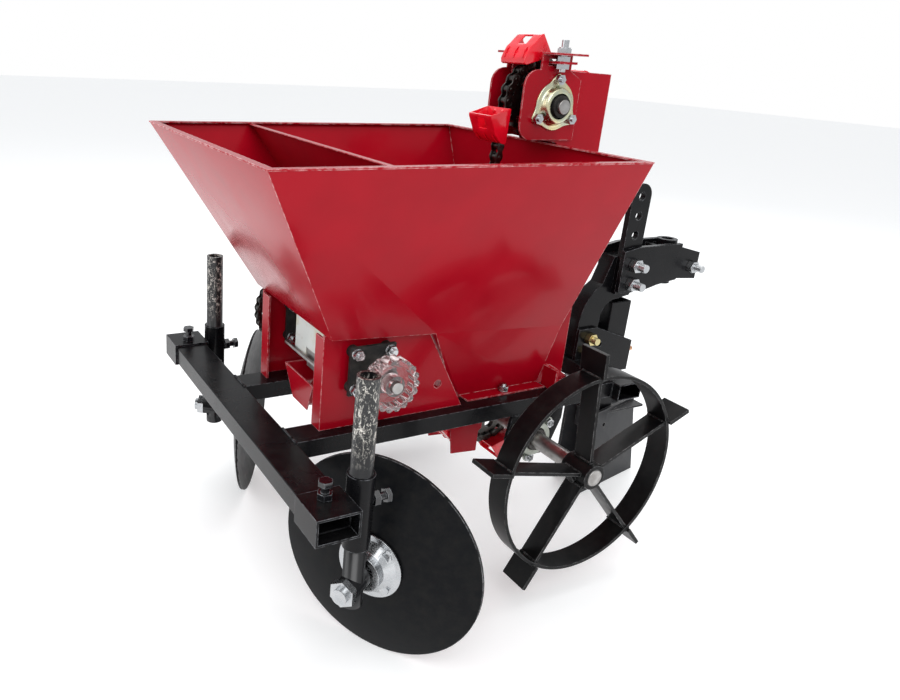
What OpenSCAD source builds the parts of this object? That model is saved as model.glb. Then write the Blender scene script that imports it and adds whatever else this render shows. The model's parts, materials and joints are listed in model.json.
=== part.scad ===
// Single-row tuber planter with a cup-chain elevator and a fertiliser unit.
// Millimetres. +X is the direction of travel, +Y is left, Z = 0 is the ground.

/* [Hopper] */
// Length of the hopper at the rim
hopper_len = 530; // [500:5:580]
// Width of the hopper at the rim
hopper_wid = 450; // [420:5:500]
// Height of the rim above the ground
rim_h = 632; // [615:1:650]
// Width of the turned rim
rim_w = 10; // [6:1:16]
// Sheet thickness of the hopper
sheet_t = 2; // [1.5:0.5:3]
// Height of the rear edge of the hopper floor
floor_rear_h = 401; // [390:1:412]
// Height of the front edge where the sides turn down
floor_front_h = 373; // [362:1:384]
// Top of the divider, behind the front wall
divider_back = 375; // [350:5:400]

/* [Frame] */
// Height of the top of the side bars
bar_top = 266; // [262:1:272]
// Width of a side bar
bar_w = 42; // [36:1:46]
// Height of a side bar
bar_h = 25; // [20:1:30]
// Wall of the square tubes
tube_t = 3; // [2:0.5:4]
// Distance between the outer faces of the side bars
frame_wid = 226; // [222:2:232]
// Offset of the working line from the middle of the hopper
row_y = -13; // [-15:1:-11]
// Length of the rear tool bar
tool_len = 560; // [540:10:620]
// Depth of a crossbar tube along the travel
cross_w = 50; // [45:1:52]
// Height of a crossbar tube
cross_h = 28; // [25:1:30]

/* [Elevator] */
// Chain pitch
pitch = 15.875; // [12.7, 15.875]
// Teeth on the elevator sprockets
teeth = 23; // [19:2:25]
// Pitches in each straight run of the elevator chain
run_pitches = 30.5; // [29.5:1:31.5]
// Links from one cup to the next
cup_step = 6; // [6, 7]
// Width of a cup
cup_w = 52; // [44:1:54]
// Reach of a cup from the chain line
cup_reach = 40; // [34:1:42]
// Inner width of the seed tube
tube_w = 62; // [60:1:66]

/* [Wheels] */
// Outer radius of a wheel rim
rim_r = 151; // [140:1:155]
// Width of a wheel rim
rim_width = 34; // [28:1:44]
// Reach of a cleat outside the rim
cleat_h = 36; // [20:1:40]
// Distance of a wheel's middle from the middle plane
wheel_y = 237; // [230:1:250]
// Height of the wheel axle
axle_z = 202; // [200:1:204]
// Diameter of the wheel axle
axle_d = 25; // [20, 25]

/* [Hiller discs] */
// Radius of a disc
disc_r = 140; // [125:1:142]
// Radius of the disc's spherical dish
dish_r = 460; // [400:10:600]
// Angle of a disc's axis from the travel direction
disc_angle = 31.5; // [25:0.5:40]
// Diameter of the shank pipe
shank_d = 27; // [25:1:28]
// Distance of a shank from the middle plane
shank_y = 258; // [250:1:262]

/* [Fertiliser unit] */
// Teeth on the metering sprocket
meter_teeth = 28; // [26:1:30]
// Teeth on the axle sprocket
drive_teeth = 14; // [13:1:17]
// Height of the metering shaft
meter_z = 351; // [348:1:354]
// Diameter of the clear rate knob
knob_d = 72; // [60:1:76]

/* [Opener and hitch] */
// Size of the opener leg along the travel
leg_x = 45; // [40:1:48]
// Size of the opener leg across the travel
leg_y = 28; // [25:1:30]
// Bore of the hitch bushing
hitch_bore = 20.5; // [16:0.5:22]
// Spacing of the mast holes
mast_pitch = 32.5; // [30:0.5:35]
// Diameter of the mast holes
mast_hole = 14; // [12:0.5:16]

/* [Hidden] */
$fn = 48;
run_gap = 0.05;
RED = [0.72, 0.03, 0.1];
CUP = [0.95, 0.05, 0.12];
BLACK = [0.09, 0.09, 0.1];
STEEL = [0.66, 0.67, 0.68];
ZINC = [0.8, 0.76, 0.55];
DARK = [0.2, 0.2, 0.21];

// hopper
hx0 = -450;
hx1 = hx0 + hopper_len;
side_slope = 0.43;
hw = hopper_wid / 2;
function side_y(z) = hw - side_slope * (rim_h - z);
rear_in = 136;
div_slope = 0.585;
div_x = hx1 - divider_back;
function div_at(z) = div_x + div_slope * (rim_h - z);
floor_k = (floor_rear_h - floor_front_h) / (hopper_len - rear_in);
function floor_at(x) = floor_rear_h - floor_k * (x - hx0 - rear_in);
split_z = (floor_rear_h - floor_k * (div_x + div_slope * rim_h - hx0 - rear_in)) / (1 - floor_k * div_slope);
split_x = div_at(split_z);
trough_y = 81;

// frame
bar_out_r = row_y - frame_wid / 2;
bar_out_l = row_y + frame_wid / 2;
bar_x0 = hx0 + 92.5;
bar_x1 = hx1 + 120;
tool_x = bar_x0 - cross_w / 2;
front_x = bar_x1 + cross_w / 2;

// elevator
sprocket_r = pitch / 2 / sin(180 / teeth);
axle_x = hx1 - 40;
head_x = hx1 - 20;
run_len = run_pitches * pitch;
head_z = axle_z + sqrt(run_len * run_len - pow(head_x - axle_x, 2));
run_u = [(head_x - axle_x) / run_len, (head_z - axle_z) / run_len];
run_n = [-run_u[1], run_u[0]];
roller_d = 10.16;
plate_h = 14;
plate_t = 1.6;
inner_w = 9.65;
link_count = teeth + 2 * run_pitches;
wrap = teeth / 2;
head_y = tube_w / 2 + 4;
tube_x1 = hx1 + 86;
cheek_t = 3;
shaft_d = 20;

// fertiliser unit
fpitch = 12.7;
meter_x = hx0 + 201;
meter_r = fpitch / 2 / sin(180 / meter_teeth);
drive_r = fpitch / 2 / sin(180 / drive_teeth);
drive_y = side_y(meter_z + meter_r + 6) + 9;
cheek_x0 = hx0 + rear_in - 2;
cheek_r_y = -107;
cheek_l_y = bar_out_l - 4;
meter_shaft_d = 16;

// discs
disc_z = disc_r;
shank_x = bar_x0 + 20.5;
shank_top = 413;
shank_bot = disc_z - 28;
sleeve_d = shank_d + 7;
clamp_w = cross_w + 6.4;
clamp_h = cross_h + 6.4;

// opener and hitch
leg_cx = bar_x1 + 102;
socket_t = 6;
ear_y = leg_y / 2 + 0.3;
mast_x = bar_x1 + 90;
mast_z0 = 416;
pivot_x = bar_x1 + 194;
draw_x = pivot_x + 38;
bolt_x = bar_x1 + 31;
pivot_d = 34;

// ---- shared shapes ----
module box(a, b) translate(a) cube([b[0] - a[0], b[1] - a[1], b[2] - a[2]]);
module mid_box(c, s) translate([c[0] - s[0] / 2, c[1] - s[1] / 2, c[2] - s[2] / 2]) cube(s);
module cyl_x(p, d, l) translate(p) rotate([0, 90, 0]) cylinder(d = d, h = l);
module cyl_y(p, d, l) translate(p) rotate([-90, 0, 0]) cylinder(d = d, h = l);
module cyl_z(p, d, l) translate(p) cylinder(d = d, h = l);
module xz_plate(pts, y0, y1) translate([0, y1, 0]) rotate([90, 0, 0]) linear_extrude(y1 - y0) polygon(pts);
module yz_plate(pts, x0, x1) translate([x0, 0, 0]) rotate([90, 0, 90]) linear_extrude(x1 - x0) polygon(pts);
module hex_z(p, af, h) translate(p) cylinder(d = af / cos(30), h = h, $fn = 6);
module hex_y(p, af, h) translate(p) rotate([-90, 0, 0]) cylinder(d = af / cos(30), h = h, $fn = 6);
module hex_x(p, af, h) translate(p) rotate([0, 90, 0]) cylinder(d = af / cos(30), h = h, $fn = 6);
module tube_x(a, b, t) difference() { box(a, b); box([a[0] - 1, a[1] + t, a[2] + t], [b[0] + 1, b[1] - t, b[2] - t]); }
module tube_y(a, b, t) difference() { box(a, b); box([a[0] + t, a[1] - 1, a[2] + t], [b[0] - t, b[1] + 1, b[2] - t]); }
// six-sided solid; a and b are its lower and upper rings of four corners
module hexa(a, b) polyhedron(points = concat(a, b), faces = [[0, 1, 2], [0, 2, 3], [4, 5, 1], [4, 1, 0],
  [7, 6, 5], [7, 5, 4], [5, 6, 2], [5, 2, 1], [6, 7, 3], [6, 3, 2], [7, 4, 0], [7, 0, 3]]);
function ring(x0, y0, z0, x1, y1, z1) = [[x0, -y0, z0], [x1, -y1, z1], [x1, y1, z1], [x0, y0, z0]];
module left_right(left) if (left) mirror([0, 1, 0]) children(); else children();

// ---- frame ----
module side_bar(y, bolts) color(BLACK) difference() {
  tube_x([bar_x0, y, bar_top - bar_h], [bar_x1, y + bar_w, bar_top], tube_t);
  for (b = bolts) cyl_z([b[0], b[1], bar_top - bar_h - 1], 8.4, bar_h + 2);
}
function hopper_bolts(s) = [[hx1 + 36, (s < 0 ? bar_out_r : bar_out_l - bar_w) + 19],
  [hx1 - 76, s * (trough_y + 11)]];
module side_bar_right() side_bar(bar_out_r, hopper_bolts(-1));
module side_bar_left() side_bar(bar_out_l - bar_w, hopper_bolts(1));
module rear_tool_bar() color(BLACK)
  tube_y([tool_x - cross_w / 2, -tool_len / 2, bar_top - cross_h], [bar_x0, tool_len / 2, bar_top], tube_t);
module front_crossbar() color(BLACK)
  tube_y([bar_x1, bar_out_r - 15, bar_top - cross_h], [bar_x1 + cross_w, bar_out_l + 15, bar_top], tube_t);

// ---- hopper ----
// volume between the walls, drawn in by s; the top is raised by up
module upper_volume(s, up) {
  k = up / (rim_h - floor_rear_h);
  sy = s * sqrt(1 + side_slope * side_slope);
  sx = s * sqrt(1 + pow(rear_in / (rim_h - floor_rear_h), 2));
  hexa(ring(hx0 + rear_in + sx, side_y(floor_rear_h) - sy, floor_rear_h,
            hx1 - s, side_y(floor_front_h) - sy, floor_front_h),
       ring(hx0 + sx - rear_in * k, side_y(rim_h + up) - sy, rim_h + up,
            hx1 - s, side_y(rim_h + up) - sy, rim_h + up));
}
module trough_volume(s, up, down) {
  kr = (side_y(split_z) - trough_y) / (split_z - bar_top);
  kf = (side_y(floor_front_h) - trough_y) / (floor_front_h - bar_top);
  sx = s * sqrt(1 + div_slope * div_slope);
  hexa(ring(div_at(bar_top - down) + sx, trough_y - s - kr * down, bar_top - down,
            hx1 - s, trough_y - s - kf * down, bar_top - down),
       ring(div_at(split_z + up) + sx, side_y(split_z) - s + kr * up, split_z + up,
            hx1 - s, side_y(floor_front_h) - s + kf * up, floor_front_h + up));
}
module hopper_shell() color(RED) {
  difference() {
    union() { upper_volume(0, 0); trough_volume(0, 1, 0); }
    difference() {
      upper_volume(sheet_t, 1);
      // floor under the rear compartment
      xz_plate([[hx0, floor_at(hx0) - 20], [hx0, floor_at(hx0) + sheet_t],
        [split_x + 1, floor_at(split_x) + sheet_t], [split_x + 1, floor_at(split_x) - 20]], -hw, hw);
    }
    difference() {
      trough_volume(sheet_t, 6, 1);
      box([div_at(bar_top) - 10, -hw, bar_top - 3], [hx1 + 1, hw, bar_top + sheet_t]);
    }
    // outlet to the fertiliser unit, and slot for the cups
    box([meter_x - 32, row_y - 36, floor_rear_h - 40], [meter_x + 32, row_y + 36, floor_rear_h + 20]);
    box([axle_x - 106, row_y - tube_w / 2, bar_top - 5], [axle_x - 34, row_y + tube_w / 2, bar_top + 5]);
  }
  // turned rim
  difference() {
    box([hx0, -hw, rim_h - sheet_t], [hx1, hw, rim_h]);
    box([hx0 + rim_w, -hw + rim_w, rim_h - 9], [hx1 - rim_w, hw - rim_w, rim_h + 1]);
  }
  // foot flanges beside the trough
  for (s = [-1, 1]) difference() {
    box([hx1 - 150, s > 0 ? trough_y - 1 : -trough_y - 21, bar_top],
      [hx1 - 2, s > 0 ? trough_y + 21 : -trough_y + 1, bar_top + sheet_t]);
    cyl_z([hopper_bolts(s)[1][0], hopper_bolts(s)[1][1], bar_top - 1], 8.4, sheet_t + 2);
  }
}
module hopper_divider() color(RED) intersection() {
  upper_volume(sheet_t + 0.2, 0);
  xz_plate([[div_at(rim_h - 4), rim_h - 4], [div_at(rim_h - 4) + sheet_t, rim_h - 4],
    [div_at(split_z + 3) + sheet_t, split_z + 3], [div_at(split_z + 3), split_z + 3]], -hw, hw);
}
module hopper_feet() color(RED) for (s = [-1, 1]) {
  y = s < 0 ? bar_out_r + 6 : bar_out_l - bar_w + 6;
  difference() {
    union() {
      box([hx1 + 0.3, y, bar_top], [hx1 + 62, y + 30, bar_top + 4]);
      xz_plate([[hx1 + 0.3, bar_top + 3], [hx1 + 4, bar_top + 34], [hx1 + 10, bar_top + 34],
        [hx1 + 58, bar_top + 4], [hx1 + 58, bar_top + 3]], s < 0 ? y + 26 : y, s < 0 ? y + 30 : y + 4);
      yz_plate([[y, bar_top + 3], [y + 30, bar_top + 3], [y + 30, bar_top + 34], [y, bar_top + 34]], hx1 + 0.3, hx1 + 4);
    }
    cyl_z([hopper_bolts(s)[0][0], hopper_bolts(s)[0][1], bar_top - 1], 8.4, 8);
  }
}
module hopper_fasteners() color(STEEL) for (s = [-1, 1]) {
  f = hopper_bolts(s)[0];
  cyl_z([f[0], f[1], bar_top - bar_h - 8], 8, bar_h + 26);
  hex_z([f[0], f[1], bar_top + 4], 13, 6.5);
  hex_z([f[0], f[1], bar_top - bar_h - 6.5], 13, 6.5);
  b = hopper_bolts(s)[1];
  cyl_z([b[0], b[1], bar_top - bar_h - 8], 8, bar_h + 22);
  cyl_z([b[0], b[1], bar_top + sheet_t], 16, 1.6);
  hex_z([b[0], b[1], bar_top + sheet_t + 1.6], 13, 6.5);
  hex_z([b[0], b[1], bar_top - bar_h - 6.5], 13, 6.5);
}

// ---- fertiliser unit ----
function cheek_top(x) = floor_at(x) - 0.4;
module metering_cheek(y, in) color(RED) {
  zb = bar_top;
  difference() {
    union() {
      xz_plate([[cheek_x0, zb], [div_at(zb) - 4, zb], [div_at(cheek_top(split_x)) - 2, cheek_top(split_x)],
        [cheek_x0, cheek_top(cheek_x0)]], y, y + 3);
      box([cheek_x0, in > 0 ? y : y - 21, zb], [cheek_x0 + 3, in > 0 ? y + 24 : y + 3, cheek_top(cheek_x0) - 4]);
    }
    cyl_y([meter_x, y - 1, meter_z], meter_shaft_d + 6, 5);
    for (a = [-25, 25], b = [-25, 25]) cyl_y([meter_x + a, y - 1, meter_z + b], 8.4, 5);
    cyl_y([div_at(zb) - 50, y - 1, zb + 40], 12, 5);
  }
}
module metering_cheek_right() metering_cheek(cheek_r_y, 1);
module metering_cheek_left() metering_cheek(cheek_l_y, -1);
// bearing blocks outside the right cheek and inside the left cheek
module metering_bearings() {
  color(DARK) for (y = [cheek_r_y - 14, cheek_l_y - 14]) difference() {
    union() {
      box([meter_x - 34, y, meter_z - 34], [meter_x + 34, y + 5, meter_z + 34]);
      cyl_y([meter_x, y, meter_z], 46, 14);
      for (a = [-25, 25], b = [-25, 25]) cyl_y([meter_x + a, y, meter_z + b], 17, 14);
    }
    cyl_y([meter_x, y - 1, meter_z], meter_shaft_d + 2 * run_gap, 16);
    for (a = [-25, 25], b = [-25, 25]) cyl_y([meter_x + a, y - 1, meter_z + b], 8.1, 16);
  }
  color(STEEL) for (y = [cheek_r_y - 14, cheek_l_y - 14], a = [-25, 25], b = [-25, 25]) {
    cyl_y([meter_x + a, y - 13, meter_z + b], 8, 37);
    hex_y([meter_x + a, y - 8, meter_z + b], 13, 8);
    hex_y([meter_x + a, y + 17, meter_z + b], 13, 5.5);
  }
}
body_y0 = row_y - 44;
body_y1 = row_y + 44;
module metering_body() color([0.93, 0.93, 0.9]) difference() {
  union() {
    xz_plate([[meter_x - 42, meter_z + 34], [meter_x - 42, meter_z - 18], [meter_x - 22, meter_z - 40],
      [meter_x + 24, meter_z - 40], [meter_x + 42, meter_z - 18], [meter_x + 42, floor_at(meter_x + 42) - 0.5],
      [meter_x - 42, floor_at(meter_x - 42) - 0.5]], body_y0, body_y1);
  }
  cyl_y([meter_x, body_y0 + 6, meter_z], 60, 76);
  box([meter_x - 28, body_y0 + 6, meter_z], [meter_x + 28, body_y1 - 6, floor_rear_h + 10]);
  box([meter_x - 16, body_y0 + 6, meter_z - 60], [meter_x + 16, body_y1 - 6, meter_z]);
  cyl_y([meter_x, body_y0 - 1, meter_z], meter_shaft_d + 1, 100);
  // notch for the gate
  box([meter_x - 60, body_y0 + 14, meter_z - 41], [meter_x - 27, body_y0 + 52, meter_z - 6]);
}
module metering_gate() {
  color([0.5, 0.5, 0.5]) box([meter_x - 40, body_y0 + 15, meter_z - 34], [meter_x - 36, body_y0 + 51, meter_z - 7]);
  color(STEEL) {
    cyl_y([meter_x - 45, body_y0 - 20, meter_z - 20], 6, cheek_l_y - 20 - body_y0);
    cyl_y([meter_x - 42, body_y0 + 18, meter_z - 20], 8, 6);
  }
}
module metering_shaft() color(STEEL)
  cyl_y([meter_x, cheek_r_y - 78, meter_z], meter_shaft_d, drive_y + 12 - (cheek_r_y - 78));
module metering_roller() color([0.9, 0.9, 0.86]) difference() {
  cyl_y([meter_x, body_y0 + 8, meter_z], 57, 72);
  cyl_y([meter_x, body_y0 + 7, meter_z], meter_shaft_d, 76);
  for (i = [0:11]) translate([meter_x, body_y0 + 14, meter_z]) rotate([0, i * 30, 0])
    translate([31, 0, 0]) rotate([-90, 0, 0]) cylinder(d = 11, h = 60);
}
// knurled clear knob that opens or closes the flutes
module rate_knob() color([0.95, 0.85, 0.85, 0.5]) difference() {
  union() {
    cyl_y([meter_x, cheek_r_y - 72, meter_z], knob_d - 8, 26);
    cyl_y([meter_x, cheek_r_y - 52, meter_z], 34, 20);
    for (i = [0:17]) translate([meter_x, cheek_r_y - 72, meter_z]) rotate([0, i * 20, 0])
      translate([knob_d / 2 - 5, 0, 0]) rotate([-90, 0, 0]) cylinder(d = 10, h = 22, $fn = 24);
  }
  cyl_y([meter_x, cheek_r_y - 80, meter_z], meter_shaft_d + 2 * run_gap, 70);
  difference() { cyl_y([meter_x, cheek_r_y - 73, meter_z], knob_d - 18, 14); cyl_y([meter_x, cheek_r_y - 74, meter_z], 28, 16); }
}
module fertiliser_chute() color(RED) {
  difference() {
    hexa([[meter_x - 52, row_y - 24, 262], [meter_x + 30, row_y - 24, 240], [meter_x + 30, row_y + 24, 240],
          [meter_x - 52, row_y + 24, 262]],
         [[meter_x - 56, row_y - 47, 308], [meter_x + 44, row_y - 47, 308], [meter_x + 44, row_y + 47, 308],
          [meter_x - 56, row_y + 47, 308]]);
    hexa([[meter_x - 50, row_y - 22, 255], [meter_x + 28, row_y - 22, 233], [meter_x + 28, row_y + 22, 233],
          [meter_x - 50, row_y + 22, 255]],
         [[meter_x - 54, row_y - 45, 309], [meter_x + 42, row_y - 45, 309], [meter_x + 42, row_y + 45, 309],
          [meter_x - 54, row_y + 45, 309]]);
  }
  // hanger ears up to the plastic body
  for (y = [body_y0 - 3, body_y1]) box([meter_x - 20, y, 304], [meter_x + 20, y + 3, meter_z - 12]);
}

// ---- sprockets and chains ----
function tooth_ring(n, tip, root) = [for (i = [0:n - 1]) for (k = [[-0.36, root], [-0.13, tip], [0.13, tip], [0.36, root]])
  let (a = (i + k[0]) * 360 / n) [k[1] * cos(a), k[1] * sin(a)]];
module sprocket(n, r, roller, w, hub, hub_w, bore) rotate([90, 0, 0]) difference() {
  union() {
    translate([0, 0, -w / 2]) linear_extrude(w) polygon(tooth_ring(n, r - roller / 2 - 0.3, r - roller / 2 - 4));
    translate([0, 0, -hub_w / 2]) cylinder(d = hub, h = hub_w);
  }
  translate([0, 0, -hub_w]) cylinder(d = bore, h = 2 * hub_w);
  if (r > 50) for (i = [0:4]) rotate(i * 72) translate([r * 0.6, 0, -hub_w]) cylinder(d = r * 0.3, h = 2 * hub_w);
}
module foot_sprocket() color(DARK) translate([axle_x, row_y, axle_z])
  sprocket(teeth, sprocket_r, roller_d, 9, 44, 30, axle_d);
module head_sprocket() color(DARK) translate([head_x, row_y, head_z])
  sprocket(teeth, sprocket_r, roller_d, 9, 40, 30, shaft_d);
module metering_sprocket() color(DARK) translate([meter_x, drive_y, meter_z])
  sprocket(meter_teeth, meter_r, 8.51, 7, 32, 12, meter_shaft_d);
module axle_sprocket() color(DARK) translate([axle_x, drive_y, axle_z])
  sprocket(drive_teeth, drive_r, 8.51, 7, 38, 22, axle_d);

function foot() = [axle_x, axle_z];
function head() = [head_x, head_z];
function pin_at(t) = t < run_pitches ? foot() + run_n * sprocket_r + run_u * t * pitch
  : t < run_pitches + wrap ? let (a = (t - run_pitches) / wrap * 180) head() + sprocket_r * (run_n * cos(a) + run_u * sin(a))
  : t < 2 * run_pitches + wrap ? head() - run_n * sprocket_r - run_u * (t - run_pitches - wrap) * pitch
  : let (a = (t - 2 * run_pitches - wrap) / wrap * 180) foot() - sprocket_r * (run_n * cos(a) + run_u * sin(a));
function wrapped(t) = t >= link_count ? t - link_count : t;
// a stretch of chain as flat layers across the travel: links is a list of pin pairs, outer ones odd
module layer(y, t) translate([0, y + t / 2, 0]) rotate([90, 0, 0]) linear_extrude(t) children();
module link_outline(l, h) translate(l[0]) rotate(atan2(l[1][1] - l[0][1], l[1][0] - l[0][0])) {
  circle(d = h, $fn = 24);
  translate([norm(l[1] - l[0]), 0]) circle(d = h, $fn = 24);
  translate([0, -h * 0.36]) square([norm(l[1] - l[0]), h * 0.72]);
}
module chain(links, h, t, inner, roller, pin) {
  n = len(links);
  for (s = [-1, 1]) {
    layer(s * (inner / 2 + t / 2), t + 0.1) for (i = [0:2:n - 1]) link_outline(links[i], h);
    layer(s * (inner / 2 + 1.5 * t), t) for (i = [1:2:n - 1]) link_outline(links[i], h * 0.92);
  }
  layer(0, inner + 0.2) for (i = [0:n - 1]) translate(links[i][0]) circle(d = roller, $fn = 24);
  layer(0, inner + 5 * t) for (i = [1:2:n - 1], k = [0, 1]) translate(links[i][k]) circle(d = pin, $fn = 20);
}
chain_phase = 0.55;
pin_d = 5;
module chain_part(first, last) color(DARK) translate([0, row_y, 0]) difference() {
  chain([for (i = [first:last]) [pin_at(wrapped(i + chain_phase)), pin_at(wrapped(i + 1 + chain_phase))]],
    plate_h, plate_t, inner_w, roller_d, pin_d);
  // room for the last pin and the outer plates of the part before
  p = pin_at(wrapped(first + chain_phase));
  cyl_y([p[0], -inner_w, p[1]], pin_d + 0.2, 2 * inner_w);
  for (e = [-1, 1]) cyl_y([p[0], e * (inner_w / 2 + plate_t + 0.05) - 0.1, p[1]], plate_h + 0.4, 0.2);
}
module chain_rising() chain_part(0, 29);
module chain_over_head() chain_part(30, 41);
module chain_falling() chain_part(42, 71);
module chain_under_foot() chain_part(72, 83);

// drive chain of the fertiliser unit, round a big and a small sprocket
fd = [axle_x - meter_x, axle_z - meter_z];
fdist = norm(fd);
fu = fd / fdist;
fv = [-fu[1], fu[0]];
ftilt = asin((meter_r - drive_r) / fdist);
frun = fdist * cos(ftilt);
f_big = meter_r * (180 + 2 * ftilt) * PI / 180;
f_small = drive_r * (180 - 2 * ftilt) * PI / 180;
f_total = 2 * frun + f_big + f_small;
f_links = 2 * round(f_total / fpitch / 2);
function on_circle(c, r, a) = c + r * (fv * cos(a) + fu * sin(a));
function drive_pin(s) = s < frun
  ? let (k = s / frun) (1 - k) * on_circle([meter_x, meter_z], meter_r, ftilt) + k * on_circle([axle_x, axle_z], drive_r, ftilt)
  : s < frun + f_small ? on_circle([axle_x, axle_z], drive_r, ftilt + (s - frun) / drive_r * 180 / PI)
  : s < 2 * frun + f_small ? let (k = (s - frun - f_small) / frun)
    (1 - k) * on_circle([axle_x, axle_z], drive_r, 180 - ftilt) + k * on_circle([meter_x, meter_z], meter_r, 180 - ftilt)
  : on_circle([meter_x, meter_z], meter_r, 180 - ftilt + (s - 2 * frun - f_small) / meter_r * 180 / PI);
module fertiliser_chain() color(DARK) translate([0, drive_y, 0])
  chain([for (i = [0:f_links - 1]) [drive_pin(i * f_total / f_links), drive_pin((i + 1) % f_links * f_total / f_links)]],
    11, 1.2, 7.75, 8.51, 4.4);

// ---- seed cups ----
module cup() {
  r0 = plate_h / 2 + 0.2;
  difference() {
    xz_plate([[r0, 14], [r0, -34], [r0 + 7, -35], [r0 + 22, -22], [cup_reach + 1, 1], [cup_reach - 1.5, 3],
      [r0 + 2.5, 9], [r0 + 2.5, 14]], -cup_w / 2, cup_w / 2);
    xz_plate([[r0 + 2.5, 20], [r0 + 2.5, -31], [r0 + 6, -32], [r0 + 20, -20.5], [cup_reach - 2.5, 3], [cup_reach - 2.5, 20]],
      -cup_w / 2 + 2.5, cup_w / 2 - 2.5);
    for (s = [0:4]) translate([r0 + 21 + s, 0, -22 + s * 1.9]) rotate([0, 60, 0]) cylinder(d = 9, h = 16, center = true);
  }
  for (y = [-8, 8]) translate([r0 + 2.4, y, 9]) rotate([0, 90, 0]) cylinder(d = 7, h = 2);
}
module seed_cups() color(CUP) for (i = [0:cup_step:link_count - 1]) {
  t = wrapped(i + 4.5 + chain_phase);
  a = pin_at(wrapped(t - 0.5 < 0 ? t - 0.5 + link_count : t - 0.5));
  b = pin_at(wrapped(t + 0.5));
  d = b - a;
  translate([(a[0] + b[0]) / 2, row_y, (a[1] + b[1]) / 2]) rotate([0, -atan2(d[1], d[0]) + 90, 0]) mirror([1, 0, 0]) cup();
}

// ---- elevator head, tube and throat ----
function cheek_pts() = concat(
  [for (a = [180:15:270]) [head_x - 36 + 22 * cos(a), head_z - 26 + 22 * sin(a)]],
  [[head_x + 44, head_z - 48], [head_x + 44, head_z + 36], [head_x + 22, head_z + 48], [head_x + 22, head_z + 70],
    [head_x - 32, head_z + 70], [head_x - 32, head_z + 48]],
  [for (a = [90:15:180]) [head_x - 36 + 22 * cos(a), head_z + 26 + 22 * sin(a)]]);
function bolt_at(s) = [head_x - 5, row_y + s * (head_y + 13)];
module head_cheeks() color(RED) for (s = [-1, 1]) {
  y = s < 0 ? row_y - head_y - cheek_t : row_y + head_y;
  difference() {
    union() {
      xz_plate(cheek_pts(), y, y + cheek_t);
      box([head_x - 32, s < 0 ? y - 24 : y, head_z + 68], [head_x + 28, s < 0 ? y + cheek_t : y + cheek_t + 24, head_z + 71]);
    }
    cyl_y([head_x, y - 1, head_z], 42, 5);
    for (a = [90, 210, 330]) cyl_y([head_x + 35.75 * cos(a), y - 1, head_z + 35.75 * sin(a)], 8.4, 5);
    cyl_z([bolt_at(s)[0], bolt_at(s)[1], head_z + 66], 10.4, 8);
    box([head_x - 20, y - 1, head_z + 54], [head_x + 16, y + cheek_t + 1, head_z + 62.5]);
  }
}
module head_bearing_flanges() color(ZINC) for (s = [-1, 1]) translate([head_x, row_y + s * (head_y + cheek_t), head_z])
  rotate([s < 0 ? 90 : -90, 0, 0]) difference() {
    union() {
      cylinder(d = 60, h = 2.5);
      cylinder(d = 50, h = 13);
      for (a = [90, 210, 330]) rotate(s < 0 ? a : -a) {
        translate([35.75, 0, 0]) cylinder(d = 17, h = 2.5);
        translate([20, -8.5, 0]) cube([15.75, 17, 2.5]);
      }
    }
    translate([0, 0, -1]) cylinder(d = 46.6, h = 11);
    translate([0, 0, -1]) cylinder(d = 34, h = 20);
    for (a = [90, 210, 330]) rotate(s < 0 ? a : -a) translate([35.75, 0, -1]) cylinder(d = 8.4, h = 5);
  }
module head_bearing_inserts() color(DARK) for (s = [-1, 1]) translate([head_x, row_y + s * (head_y + cheek_t), head_z])
  rotate([s < 0 ? 90 : -90, 0, 0]) difference() {
    union() { translate([0, 0, -2.9]) cylinder(d = 41.8, h = 12.8); cylinder(d = 46.5, h = 9.9); cylinder(d = 30, h = 17); }
    translate([0, 0, -4]) cylinder(d = shaft_d + 2 * run_gap, h = 30);
    for (z = [-5, 7]) translate([0, 0, z]) difference() { cylinder(d = 42, h = 5.5); cylinder(d = 32, h = 6); }
  }
module head_shaft() color(STEEL)
  cyl_y([head_x, row_y - head_y - cheek_t - 22, head_z], shaft_d, 2 * (head_y + cheek_t + 22));
module head_bolts() color(STEEL) for (s = [-1, 1]) {
  y0 = row_y + s * (head_y + cheek_t);
  for (a = [90, 210, 330]) {
    p = [head_x + 35.75 * cos(a), y0, head_z + 35.75 * sin(a)];
    cyl_y([p[0], s < 0 ? y0 - 12 : y0 - 6.5, p[2]], 8, 18.5);
    hex_y([p[0], s < 0 ? y0 - 9 : y0 + 2.5, p[2]], 13, 6.5);
    hex_y([p[0], s < 0 ? y0 + cheek_t : y0 - cheek_t - 4, p[2]], 13, 4);
  }
  b = bolt_at(s);
  cyl_z([b[0], b[1], head_z + 46], 10, 42);
  hex_z([b[0], b[1], head_z + 71], 17, 6);
  cyl_z([b[0], b[1], head_z + 77], 16, 1.5);
  hex_z([b[0], b[1], head_z + 50], 17, 6.5);
  hex_z([b[0], b[1], head_z + 60], 17, 6.5);
}
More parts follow.
